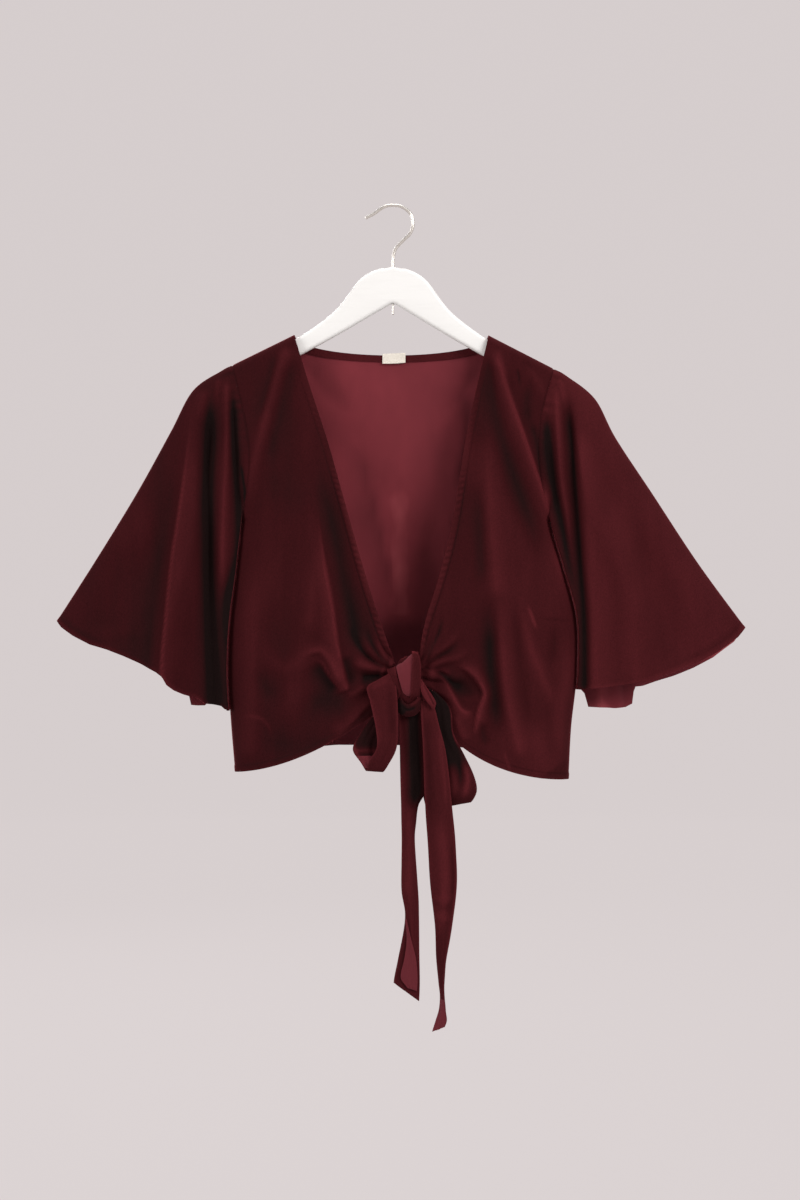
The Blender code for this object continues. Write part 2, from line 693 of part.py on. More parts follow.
def curve_mesh(curve):
    """A curve's evaluated mesh, with its caps welded, as a mesh of its own."""
    holder = bpy.data.objects.new("curve holder", curve)
    bpy.context.scene.collection.objects.link(holder)
    graph = bpy.context.evaluated_depsgraph_get()
    data = bpy.data.meshes.new_from_object(holder.evaluated_get(graph))
    bpy.data.objects.remove(holder)
    mesh = bmesh.new()
    mesh.from_mesh(data)
    bmesh.ops.remove_doubles(mesh, verts=mesh.verts, dist=MERGE)
    bmesh.ops.recalc_face_normals(mesh, faces=mesh.faces)
    return mesh


def hanger_outline():
    """The closed outline of the hanger in the front view."""
    clear = [(NECK_HALF, HANGER_NECK_CLEAR)]
    clear += [(x, HANGER_CLEAR) for x in (NECK_HALF + HANGER_NECK_FADE, HANGER_BEND)]
    shoulder = [(x, shoulder_line(x) + TILT * x - drop) for x, drop in clear]
    arm = [*ARM_TOP, *shoulder, *ARM_END, *ARM_UNDER]
    mirrored = [(-x, z) for x, z in reversed(arm[:-1])]
    return [(x, z - TILT * x) for x, z in arm + mirrored]


def make_hanger(collection, cutters):
    """The hanger: a flat outline with rounded edges and a bore for the hook."""
    outline = hanger_outline()
    curve = bpy.data.curves.new("hanger outline", "CURVE")
    curve.dimensions = "2D"
    curve.fill_mode = "BOTH"
    curve.extrude = (HANGER_THICK / 2 - HANGER_EDGE) * MM
    curve.bevel_depth = HANGER_EDGE * MM
    curve.offset = -HANGER_EDGE * MM
    curve.bevel_resolution = 1
    spline = curve.splines.new("POLY")
    spline.points.add(len(outline) - 1)
    for point, (x, z) in zip(spline.points, outline):
        point.co = (x * MM, z * MM, 0.0, 1.0)
    spline.use_cyclic_u = True
    mesh = curve_mesh(curve)
    upright = {vert: Vector((vert.co.x, -vert.co.z, vert.co.y)) for vert in mesh.verts}
    for vert, spot in upright.items():
        vert.co = spot
    hanger = add_object("hanger_body", mesh, LACQUER, collection)

    bore = bmesh.new()
    radius = (WIRE / 2 + BORE_CLEAR) * MM
    length = (BORE_TOP_Z - BORE_FOOT_Z) * MM
    made = bmesh.ops.create_cone(bore, cap_ends=True, segments=16, radius1=radius, radius2=radius, depth=length)
    bmesh.ops.translate(bore, verts=made["verts"], vec=(0.0, 0.0, (BORE_TOP_Z + BORE_FOOT_Z) / 2 * MM))
    cutter = add_object("hook bore", bore, CHROME, cutters)
    cutter.hide_render = True
    cutter.display_type = "WIRE"
    cut = hanger.modifiers.new("bore", "BOOLEAN")
    cut.operation = "DIFFERENCE"
    cut.solver = "EXACT"
    cut.object = cutter


def make_hook(collection):
    """The hook: one bent wire, from its foot under the hanger to its tip."""
    curve = bpy.data.curves.new("hanger_hook", "CURVE")
    curve.dimensions = "3D"
    curve.bevel_depth = WIRE / 2 * MM
    curve.bevel_resolution = 2
    curve.use_fill_caps = True
    count = (len(HOOK) - 1) * HOOK_STEPS
    spline = curve.splines.new("POLY")
    spline.points.add(count)
    for step, point in enumerate(spline.points):
        bend = Bend(*smooth_row(HOOK, step / HOOK_STEPS))
        point.co = (bend.x * MM, 0.0, bend.z * MM, 1.0)
    add_object("hanger_hook", curve_mesh(curve), CHROME, collection)


def clear_scene():
    """Remove whatever the scene held."""
    for thing in list(bpy.data.objects):
        bpy.data.objects.remove(thing)


def main():
    """Build every piece."""
    clear_scene()
    collection = bpy.data.collections.new("wrap top on a hanger")
    cutters = bpy.data.collections.new("cutters")
    bpy.context.scene.collection.children.link(collection)
    bpy.context.scene.collection.children.link(cutters)
    points = panels()
    make_cloth(points, collection)
    make_neck_band(points, collection)
    make_label(points, collection)
    for name, table in TIES.items():
        make_tie(name, table, collection)
    make_knot(collection)
    make_hanger(collection, cutters)
    make_hook(collection)


main()
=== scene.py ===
"""Velvet wrap top with a tied front and flutter sleeves, hanging on a white wooden hanger.

Left and right are as seen from the front, where -X is left and the front faces -Y. Sizes and tables are in
millimetres and become metres when a mesh is made. The origin is the inner crown of the hanger's hook.

The cloth is one surface of five panels that share the points of their seams. Each panel is then set back from
its seams and given its wall, velvet outside and the plain wrong side inside.
"""

import logging
import math
from dataclasses import dataclass, field
from enum import Enum
from typing import Iterable, NamedTuple, Sequence

import bmesh
import bpy
import numpy as np
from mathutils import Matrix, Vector

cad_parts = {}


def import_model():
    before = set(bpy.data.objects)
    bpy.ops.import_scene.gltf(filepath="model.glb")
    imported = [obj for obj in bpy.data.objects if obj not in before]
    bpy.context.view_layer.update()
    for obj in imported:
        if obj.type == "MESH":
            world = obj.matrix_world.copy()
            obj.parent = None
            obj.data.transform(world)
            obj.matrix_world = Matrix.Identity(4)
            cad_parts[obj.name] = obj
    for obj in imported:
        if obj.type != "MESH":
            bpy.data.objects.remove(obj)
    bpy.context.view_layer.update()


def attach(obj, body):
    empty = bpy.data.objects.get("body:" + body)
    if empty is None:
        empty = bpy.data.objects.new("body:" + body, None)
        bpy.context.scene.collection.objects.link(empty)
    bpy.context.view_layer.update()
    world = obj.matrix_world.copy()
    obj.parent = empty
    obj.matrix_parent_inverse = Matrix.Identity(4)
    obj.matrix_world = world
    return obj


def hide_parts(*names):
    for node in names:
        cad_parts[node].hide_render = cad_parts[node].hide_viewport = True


log = logging.getLogger("wrap_top")

MM = 0.001
BODY = "root"
# the pile's nap, with light and shade painted into it
NAP_AND_SHADE = "nap_and_shade"
# the wrong side's painted shade, darker above 0 and lighter below it
INSIDE_SHADE = "inside"
ALONG = "along"
WELD = 0.00001
WHITE = (1.0, 1.0, 1.0)
PAST_END = 99.0
ALL = (-1.0, PAST_END)
NONE = (0.0, 0.0)

Colour = tuple[float, float, float]
Array = np.ndarray
Socket = bpy.types.NodeSocket
Rims = dict[tuple[float, ...], tuple[float, float]]


class Side(Enum):
    """A side of the garment, as seen from the front."""

    LEFT = -1
    RIGHT = 1


class Layer(Enum):
    """Which way a panel faces."""

    FRONT = -1
    BACK = 1


# --------------------------------------------------------------------------------------------------
# Finishes


class Pattern(NamedTuple):
    """A cloudy pattern: how fine it is each way, in amounts a metre, and its layers' number and strength."""

    across: float
    deep: float
    down: float
    detail: float
    roughness: float


class Shader:
    """A material under construction: a Principled shader and the nodes that feed it."""

    def __init__(self, name: str) -> None:
        """Start a material with a Principled shader and Object coordinates.

        Args:
            name: the material's name.
        """
        self.material = bpy.data.materials.new(name)
        self.material.use_nodes = True
        self.tree = self.material.node_tree
        self.principled = self.tree.nodes["Principled BSDF"]
        self.place = self.tree.nodes.new("ShaderNodeTexCoord").outputs["Object"]

    def set(self, **values: object) -> None:
        """Set sockets of the Principled shader. Underscores in a name stand for spaces."""
        for name, value in values.items():
            self.principled.inputs[name.replace("_", " ")].default_value = value

    def stretched(self, across: float, deep: float, down: float) -> Socket:
        """Object coordinates scaled by an amount a metre each way.

        Returns:
            The scaled coordinates.
        """
        mapping = self.tree.nodes.new("ShaderNodeMapping")
        mapping.inputs["Scale"].default_value = (across, deep, down)
        self.tree.links.new(self.place, mapping.inputs["Vector"])
        return mapping.outputs["Vector"]

    def noise(self, pattern: Pattern) -> Socket:
        """A cloudy pattern, from 0 to 1."""
        where = self.stretched(*pattern[:3])
        node = self.tree.nodes.new("ShaderNodeTexNoise")
        node.inputs["Scale"].default_value = 1.0
        node.inputs["Detail"].default_value = pattern.detail
        node.inputs["Roughness"].default_value = pattern.roughness
        self.tree.links.new(where, node.inputs["Vector"])
        return node.outputs["Fac"]

    def wave(self, where: Socket, distortion: float = 0.0) -> Socket:
        """Straight bands across the first coordinate.

        Returns:
            The pattern, from 0 to 1.
        """
        node = self.tree.nodes.new("ShaderNodeTexWave")
        node.inputs["Scale"].default_value = 1.0
        node.inputs["Distortion"].default_value = distortion
        self.tree.links.new(where, node.inputs["Vector"])
        return node.outputs["Fac"]

    def attribute(self, name: str) -> Socket:
        """A number that the mesh holds at each point.

        Returns:
            The number.
        """
        node = self.tree.nodes.new("ShaderNodeAttribute")
        node.attribute_name = name
        return node.outputs["Fac"]

    def ramp(self, source: Socket, places: Sequence[float], colours: Sequence[Colour]) -> Socket:
        """Colours laid over a pattern.

        Args:
            source: the pattern.
            places: where on the pattern each colour is, from 0 to 1.
            colours: the colours.

        Returns:
            The colour.
        """
        node = self.tree.nodes.new("ShaderNodeValToRGB")
        elements = node.color_ramp.elements
        while len(elements) < len(places):
            elements.new(0.5)
        for element, place, colour in zip(elements, places, colours):
            element.position = place
            element.color = (*colour, 1.0)
        self.tree.links.new(source, node.inputs["Fac"])
        return node.outputs["Color"]

    def blend(self, kind: str, amount: float, first: Socket, second: Socket) -> Socket:
        """Two colours put together.

        Args:
            kind: how they are put together, such as MULTIPLY.
            amount: how much of the second one counts.
            first: the colour below.
            second: the colour on top.

        Returns:
            The colour.
        """
        node = self.tree.nodes.new("ShaderNodeMix")
        node.data_type = "RGBA"
        node.blend_type = kind
        node.inputs["Factor"].default_value = amount
        self.tree.links.new(first, node.inputs["A"])
        self.tree.links.new(second, node.inputs["B"])
        return node.outputs["Result"]

    def sum(self, first: Socket, second: Socket, share: float) -> Socket:
        """One pattern plus a share of another.

        Returns:
            The sum.
        """
        node = self.tree.nodes.new("ShaderNodeMath")
        node.operation = "MULTIPLY_ADD"
        self.tree.links.new(second, node.inputs[0])
        node.inputs[1].default_value = share
        self.tree.links.new(first, node.inputs[2])
        return node.outputs["Value"]

    def bump(self, height: Socket, depth: float, strength: float = 1.0) -> None:
        """Press a pattern into the surface.

        Args:
            height: the pattern.
            depth: how deep it is, in metres.
            strength: how much of it counts.
        """
        node = self.tree.nodes.new("ShaderNodeBump")
        node.inputs["Distance"].default_value = depth
        node.inputs["Strength"].default_value = strength
        self.tree.links.new(height, node.inputs["Height"])
        self.tree.links.new(node.outputs["Normal"], self.principled.inputs["Normal"])

    def colour(self, source: Socket) -> None:
        """Feed the base colour."""
        self.tree.links.new(source, self.principled.inputs["Base Color"])


@dataclass(frozen=True)
class Finish:
    """A finish that can be made into a material."""

    name: str

    def make(self) -> bpy.types.Material:
        """Build the material.

        Returns:
            The material.
        """
        shader = Shader(self.name)
        self.paint(shader)
        return shader.material

    def paint(self, shader: Shader) -> None:
        """Set the shader and lay its patterns."""
        raise NotImplementedError


@dataclass(frozen=True)
class Velvet(Finish):
    """Short burgundy pile: dark face on, with a soft red sheen where it turns away, lighter where brushed,
    and light and shade painted in from its nap attribute.
    """

    name: str = "velvet pile"
    colours: tuple[Colour, ...] = ((0.0120, 0.0060, 0.0058), (0.045, 0.0062, 0.0078), (0.108, 0.0150, 0.0188))
    colour_places: tuple[float, ...] = (0.0, 0.4, 0.95)
    roughness: float = 0.9
    specular: float = 0.03
    sheen: float = 0.6
    sheen_roughness: float = 0.3
    sheen_tint: Colour = (0.60, 0.08, 0.10)
    patches: Pattern = Pattern(9.0, 9.0, 4.05, 3.0, 0.55)
    streaks: Pattern = Pattern(55.0, 55.0, 6.6, 3.0, 0.6)
    pile: Pattern = Pattern(800.0, 800.0, 560.0, 2.0, 0.7)
    streak_share: float = 0.4
    uneven: float = 0.55
    shade: Colour = (0.55, 0.55, 0.55)
    shade_places: tuple[float, float] = (0.25, 0.75)
    shade_amount: float = 0.8
    depth: float = 0.0005
    streak_depth: float = 0.5
    strength: float = 0.5

    def paint(self, shader: Shader) -> None:
        """Lay the brushed pile and its grain."""
        shader.set(Roughness=self.roughness, Sheen_Weight=self.sheen, Sheen_Roughness=self.sheen_roughness)
        shader.set(Sheen_Tint=(*self.sheen_tint, 1.0), Specular_IOR_Level=self.specular)
        cloud = shader.noise(self.patches)
        brushed = shader.noise(self.streaks)
        # the nap attribute paints light and shade into the pile's colour, over its random patches and streaks
        lay = shader.sum(shader.attribute(NAP_AND_SHADE), shader.sum(cloud, brushed, self.streak_share), self.uneven)
        ground = shader.ramp(lay, self.colour_places, self.colours)
        grain = shader.noise(self.pile)
        shades = shader.ramp(grain, self.shade_places, (self.shade, WHITE))
        shader.colour(shader.blend("MULTIPLY", self.shade_amount, ground, shades))
        shader.bump(shader.sum(grain, brushed, self.streak_depth), self.depth, self.strength)


@dataclass(frozen=True)
class WrongSide(Finish):
    """The plain knitted back of the velvet, matte and rosier than the pile."""

    name: str = "velvet wrong side"
    colours: tuple[Colour, ...] = ((0.125, 0.0165, 0.0225), (0.225, 0.031, 0.041), (0.46, 0.085, 0.100))
    colour_places: tuple[float, ...] = (0.25, 0.74, 1.0)
    roughness: float = 0.95
    specular: float = 0.1
    sheen: float = 0.2
    sheen_roughness: float = 0.6
    sheen_tint: Colour = (0.85, 0.34, 0.40)
    patches: Pattern = Pattern(14.0, 14.0, 8.0, 3.0, 0.5)
    # share of the inside shade attribute: painted shade of the folds and of the shadows inside, darker above
    # 0
    folds: float = -0.6
    wales: float = 620.0
    wander: float = 0.6
    grain: Pattern = Pattern(900.0, 900.0, 900.0, 2.0, 0.6)
    grain_share: float = 0.8
    shade: Colour = (0.82, 0.82, 0.82)
    shade_places: tuple[float, float] = (0.2, 1.0)
    shade_amount: float = 0.7
    depth: float = 0.0002
    strength: float = 0.4

    def paint(self, shader: Shader) -> None:
        """Lay the knit and the painted shade of the folds and of the shadows inside."""
        shader.set(Roughness=self.roughness, Sheen_Weight=self.sheen, Sheen_Roughness=self.sheen_roughness)
        shader.set(Sheen_Tint=(*self.sheen_tint, 1.0), Specular_IOR_Level=self.specular)
        lay = shader.sum(shader.noise(self.patches), shader.attribute(INSIDE_SHADE), self.folds)
        ground = shader.ramp(lay, self.colour_places, self.colours)
        wale = shader.wave(shader.stretched(self.wales, 0.0, 0.0), self.wander)
        knit = shader.sum(wale, shader.noise(self.grain), self.grain_share)
        shades = shader.ramp(knit, self.shade_places, (self.shade, WHITE))
        shader.colour(shader.blend("MULTIPLY", self.shade_amount, ground, shades))
        shader.bump(knit, self.depth, self.strength)


@dataclass(frozen=True)
class WovenTape(Finish):
    """Cream satin tape with its fine weave."""

    name: str = "woven tape"
    colours: tuple[Colour, Colour] = ((0.78, 0.70, 0.60), (0.91, 0.83, 0.73))
    colour_places: tuple[float, float] = (0.1, 0.9)
    roughness: float = 0.55
    sheen: float = 0.25
    sheen_roughness: float = 0.5
    warp: float = 2600.0
    weft: float = 1820.0
    weft_share: float = 0.8
    depth: float = 0.0001
    strength: float = 0.6

    def paint(self, shader: Shader) -> None:
        """Lay the weave."""
        shader.set(Roughness=self.roughness, Sheen_Weight=self.sheen, Sheen_Roughness=self.sheen_roughness)
        warp = shader.wave(shader.stretched(self.warp, 0.0, 0.0))
        weft = shader.wave(shader.stretched(0.0, 0.0, self.weft))
        weave = shader.sum(warp, weft, self.weft_share)
        shader.colour(shader.ramp(weave, self.colour_places, self.colours))
        shader.bump(weave, self.depth, self.strength)


@dataclass(frozen=True)
class Lacquer(Finish):
    """White lacquer over wood, with the grain just showing through."""

    name: str = "white lacquered wood"
    colours: tuple[Colour, Colour] = ((0.895, 0.865, 0.84), (0.915, 0.885, 0.86))
    colour_places: tuple[float, float] = (0.32, 0.5)
    roughness: float = 0.42
    coat: float = 0.15
    coat_roughness: float = 0.3
    specular: float = 0.35
    grain: Pattern = Pattern(30.0, 260.0, 260.0, 4.0, 0.6)
    orange_peel: Pattern = Pattern(450.0, 450.0, 450.0, 1.0, 0.5)
    peel_share: float = 0.6
    depth: float = 0.0002
    strength: float = 0.35

    def paint(self, shader: Shader) -> None:
        """Lay the grain under the lacquer."""
        shader.set(Roughness=self.roughness, Coat_Weight=self.coat, Coat_Roughness=self.coat_roughness)
        shader.set(Specular_IOR_Level=self.specular)
        grain = shader.noise(self.grain)
        peeled = shader.sum(grain, shader.noise(self.orange_peel), self.peel_share)
        shader.colour(shader.ramp(grain, self.colour_places, self.colours))
        shader.bump(peeled, self.depth, self.strength)


@dataclass(frozen=True)
class Wire(Finish):
    """Bright chromed steel wire, with faint drawing marks."""

    name: str = "chromed wire"
    colours: tuple[Colour, Colour] = ((0.60, 0.57, 0.52), (0.76, 0.73, 0.68))
    colour_places: tuple[float, float] = (0.3, 0.6)
    roughness: float = 0.3
    marks: Pattern = Pattern(900.0, 900.0, 120.0, 3.0, 0.6)
    depth: float = 0.00005
    strength: float = 0.3

    def paint(self, shader: Shader) -> None:
        """Lay the marks of the drawing."""
        shader.set(Roughness=self.roughness, Metallic=1.0)
        marks = shader.noise(self.marks)
        shader.colour(shader.ramp(marks, self.colour_places, self.colours))
        shader.bump(marks, self.depth, self.strength)


@dataclass(frozen=True)
class Paper(Finish):
    """Seamless pale studio paper."""

    name: str = "studio paper"
    light: Colour = (0.668, 0.612, 0.612)
    albedo: float = 0.05
    glow: float = 0.972
    roughness: float = 0.95
    specular: float = 0.1
    tooth: Pattern = Pattern(40.0, 40.0, 40.0, 3.0, 0.5)
    tooth_places: tuple[float, float] = (0.35, 0.65)
    tooth_dark: float = 0.98

    def paint(self, shader: Shader) -> None:
        """Lay the paper's tooth and its even light."""
        shader.set(Roughness=self.roughness, Specular_IOR_Level=self.specular)
        shader.set(Emission_Color=(*self.light, 1.0), Emission_Strength=self.glow)
        light = tuple(channel * self.albedo for channel in self.light)
        shade = tuple(channel * self.tooth_dark for channel in light)
        shader.colour(shader.ramp(shader.noise(self.tooth), self.tooth_places, (shade, light)))


@dataclass
class Wardrobe:
    """One of each finish, shared by all the pieces."""

    velvet: bpy.types.Material = field(default_factory=Velvet().make)
    wrong_side: bpy.types.Material = field(default_factory=WrongSide().make)
    tape: bpy.types.Material = field(default_factory=WovenTape().make)
    lacquer: bpy.types.Material = field(default_factory=Lacquer().make)
    wire: bpy.types.Material = field(default_factory=Wire().make)
    paper: bpy.types.Material = field(default_factory=Paper().make)


# --------------------------------------------------------------------------------------------------
# Smooth tables and shapes


def smooth_rows(table: Sequence[Sequence[float]], places: Array) -> Array:
    """Read a table between its rows, along smooth curves through them.

    Args:
        table: the rows.
        places: where to read, in rows from the first.

    Returns:
        A row of values for each place, on the last axis.
    """
    rows = np.array(table, dtype=float)
    last = len(rows) - 1
    places = np.clip(np.asarray(places, dtype=float), 0.0, last)
    start = np.minimum(places.astype(int), last - 1)
    share = (places - start)[..., None]
    here, there = rows[start], rows[start + 1]
    before = np.where((start > 0)[..., None], rows[np.maximum(start - 1, 0)], 2 * here - there)
    after = np.where((start + 2 <= last)[..., None], rows[np.minimum(start + 2, last)], 2 * there - here)
    leave, arrive = (there - before) / 2, (after - here) / 2
    square, cube = share**2, share**3
    return (
        (2 * cube - 3 * square + 1) * here
        + (cube - 2 * square + share) * leave
        + (3 * square - 2 * cube) * there
        + (cube - square) * arrive
    )


def smooth_steps(table: Sequence[Sequence[float]], steps: int) -> Array:
    """The smooth curve through a table's rows, in a number of steps from each row to the next."""
    return smooth_rows(table, np.linspace(0, len(table) - 1, (len(table) - 1) * steps + 1))


def bell(distance: Array, reach: float | Array, power: float = 2.0) -> Array:
    """A bump that is 1 in the middle and fades to 0 at its reach and beyond."""
    return np.exp(-((np.abs(distance) / reach) ** power))


def ease(share: Array) -> Array:
    """A soft step from 0 to 1."""
    share = np.clip(share, 0.0, 1.0)
    return share * share * (3 - 2 * share)


class Wave(NamedTuple):
    """A wave: its height, its length over 2 pi, and where it starts."""

    height: float
    length: float
    start: float = 0.0

    def at(self, distance: Array) -> Array:
        """The wave's height at each distance."""
        return self.height * np.sin(distance / self.length + self.start)


class Rise(NamedTuple):
    """A soft step from 0 to 1: where it starts and how long it is."""

    start: float
    length: float

    def at(self, distance: Array) -> Array:
        """The step's height at each distance."""
        return ease((distance - self.start) / self.length)


def run_down(points: Array) -> Array:
    """How far each point is from the first row, along its column."""
    steps = np.cumsum(np.linalg.norm(np.diff(points[..., :3], axis=0), axis=-1), axis=0)
    return np.concatenate([np.zeros((1, points.shape[1])), steps])


def run_across(points: Array) -> Array:
    """How far each point is from the first column, along its row."""
    return run_down(points.swapaxes(0, 1)).T


@dataclass(frozen=True)
class Crease:
    """A fold along a smooth line of the front view.

    Its height falls off over one reach on each side, so a crest can be soft on one side and steep on the
    other. For a line that runs down, left and right are as seen from the front. For one that runs to the
    right, left is below it and right is above. Its nap and shade is how much lighter, or darker below 0, the
    pile shows along it: painted light and shade, over the pile's own lay. Its inside shade is the same
    painted shade for the wrong side, where that differs.
    """

    line: tuple[tuple[float, float], ...]
    left: float
    right: float
    height: float
    fade_in: float = 0.3
    fade_out: float = 0.3
    nap_and_shade: float = 0.0
    power: float = 1.7
    inside: float | None = None
    pieces: int = 8

    def shape(self, x: Array, z: Array) -> Array:
        """How much of the crease there is.

        Args:
            x: places in the front view, across.
            z: places in the front view, up.

        Returns:
            The share of the crease's full height at each place.
        """
        steps = self.pieces * (len(self.line) - 1)
        path = smooth_steps(self.line, self.pieces)
        nearest = np.full(x.shape, math.inf)
        signed = np.zeros(x.shape)
        along = np.zeros(x.shape)
        for number in range(steps):
            start, run = path[number], path[number + 1] - path[number]
            share = np.clip(((x - start[0]) * run[0] + (z - start[1]) * run[1]) / (run @ run), 0.0, 1.0)
            away_x, away_z = x - start[0] - share * run[0], z - start[1] - share * run[1]
            away = np.hypot(away_x, away_z)
            closer = away < nearest
            nearest = np.where(closer, away, nearest)
            hand = np.where(run[0] * away_z - run[1] * away_x > 0, 1.0, -1.0)
            signed = np.where(closer, away * hand, signed)
            along = np.where(closer, (number + share) / steps, along)
        fade = ease(along / self.fade_in) if self.fade_in else 1.0
        if self.fade_out:
            fade = fade * ease((1 - along) / self.fade_out)
        reach = np.where(signed < 0, self.left, self.right)
        return fade * bell(signed, reach, self.power)


def relief(creases: Iterable[Crease], x: Array, z: Array) -> tuple[Array, Array, Array]:
    """What all the creases do together.

    Returns:
        The lift, the nap with its painted light and shade, and the wrong side's painted shade at each place.
    """
    lift, nap_and_shade, inside = (np.zeros(x.shape) for _ in range(3))
    for crease in creases:
        shape = crease.shape(x, z)
        lift += crease.height * shape
        nap_and_shade += crease.nap_and_shade * shape
        inside += (crease.nap_and_shade if crease.inside is None else crease.inside) * shape
    return lift, nap_and_shade, inside


# --------------------------------------------------------------------------------------------------
# Pieces


def put_piece(
    name: str,
    mesh: bmesh.types.BMesh,
    materials: Sequence[bpy.types.Material],
    replaces: str,
) -> bpy.types.Object:
    """Turn a finished mesh into a piece of the object.

    Args:
        name: the piece's name.
        mesh: its mesh, in metres, which is used up.
        materials: its materials, in the order of the faces' material numbers.
        replaces: the solid that the piece stands for.

    Returns:
        The piece.
    """
    for face in mesh.faces:
        face.smooth = True
    data = bpy.data.meshes.new(name)
    mesh.to_mesh(data)
    mesh.free()
    piece = bpy.data.objects.new(name, data)
    for material in materials:
        data.materials.append(material)
    bpy.context.scene.collection.objects.link(piece)
    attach(piece, BODY)
    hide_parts(replaces)
    log.info("%s: %d faces", name, len(data.polygons))
    return piece


def add_grid(mesh: bmesh.types.BMesh, points: Array, owner: bmesh.types.BMLayerItem, tag: int) -> None:
    """Add a grid to a mesh and move it to its points.

    Args:
        mesh: the mesh.
        points: the points, as rows of columns: three places in millimetres, then the nap with its painted
            light
        and shade, the wrong side's painted shade and how far along a tie they are.
        owner: the layer that holds each face's tag.
        tag: the tag of the grid's faces.
    """
    values = mesh.verts.layers.float
    extras = [values.get(name) or values.new(name) for name in (NAP_AND_SHADE, INSIDE_SHADE, ALONG)]
    down, across = points.shape[0] - 1, points.shape[1] - 1
    grid = bmesh.ops.create_grid(mesh, x_segments=across, y_segments=down, size=0.5)
    faces = {face for vert in grid["verts"] for face in vert.link_faces}
    for vert in grid["verts"]:
        column = round((vert.co.x + 0.5) * across)
        row = round((vert.co.y + 0.5) * down)
        vert.co = Vector(points[row, column, :3]) * MM
        for layer, value in zip(extras, points[row, column, 3:]):
            vert[layer] = float(value)
    for face in faces:
        face[owner] = tag


def lone_grid(points: Array) -> bmesh.types.BMesh:
    """A mesh with one grid in it."""
    mesh = bmesh.new()
    add_grid(mesh, points, mesh.faces.layers.int.new("panel"), 0)
    mesh.normal_update()
    return mesh


def even_wall(mesh: bmesh.types.BMesh, wall: float, edge_round: float) -> None:
    """Give an open surface a wall of one thickness, along its own normals."""
    leans = {vert: vert.normal.copy() for vert in mesh.verts}
    give_wall(mesh, leans, dict.fromkeys(mesh.verts, wall), edge_round)


def give_wall(
    mesh: bmesh.types.BMesh,
    leans: dict[bmesh.types.BMVert, Vector],
    walls: dict[bmesh.types.BMVert, float],
    edge_round: float,
) -> None:
    """Give an open surface its wall, half to each side, and round its rim. The inner faces get material 1.

    Args:
        mesh: the open surface, with its faces pointing out.
        leans: the way the wall grows at each of its points.
        walls: the wall's thickness at each of its points, in millimetres.
        edge_round: how far the rim is rounded, in millimetres.
    """
    keep = {tuple(vert.co): (leans[vert], walls[vert]) for vert in mesh.verts}
    grown = bmesh.ops.extrude_face_region(mesh, geom=mesh.faces[:], use_keep_orig=True)
    inner = {item for item in grown["geom"] if isinstance(item, bmesh.types.BMVert)}
    for vert in mesh.verts:
        lean, wall = keep[tuple(vert.co)]
        vert.co += lean * (-wall / 2 if vert in inner else wall / 2) * MM
    bmesh.ops.recalc_face_normals(mesh, faces=mesh.faces)
    rims = set()
    for face in mesh.faces:
        within = sum(vert in inner for vert in face.verts)
        face.material_index = int(within == len(face.verts))
        if 0 < within < len(face.verts):
            rims.update(edge for edge in face.edges if (edge.verts[0] in inner) == (edge.verts[1] in inner))
    bmesh.ops.bevel(
        mesh,
        geom=list(rims),
        offset=edge_round * MM,
        offset_type="OFFSET",
        affect="EDGES",
        segments=2,
        profile=0.5,
        clamp_overlap=True,
        material=-1,
    )


# --------------------------------------------------------------------------------------------------
# The cloth


class Course(NamedTuple):
    """One course round the body: where it stands in the front view, and its depth in front and behind."""

    left_side_x: float
    left_side_z: float
    left_edge_x: float
    left_edge_z: float
    right_edge_x: float
    right_edge_z: float
    right_side_x: float
    right_side_z: float
    back_x: float
    back_z: float
    front: float
    back: float


class Hem(NamedTuple):
    """How far a hem hangs below the straight line between its corners, and where it hangs lowest."""

    sag: float
    lowest: float


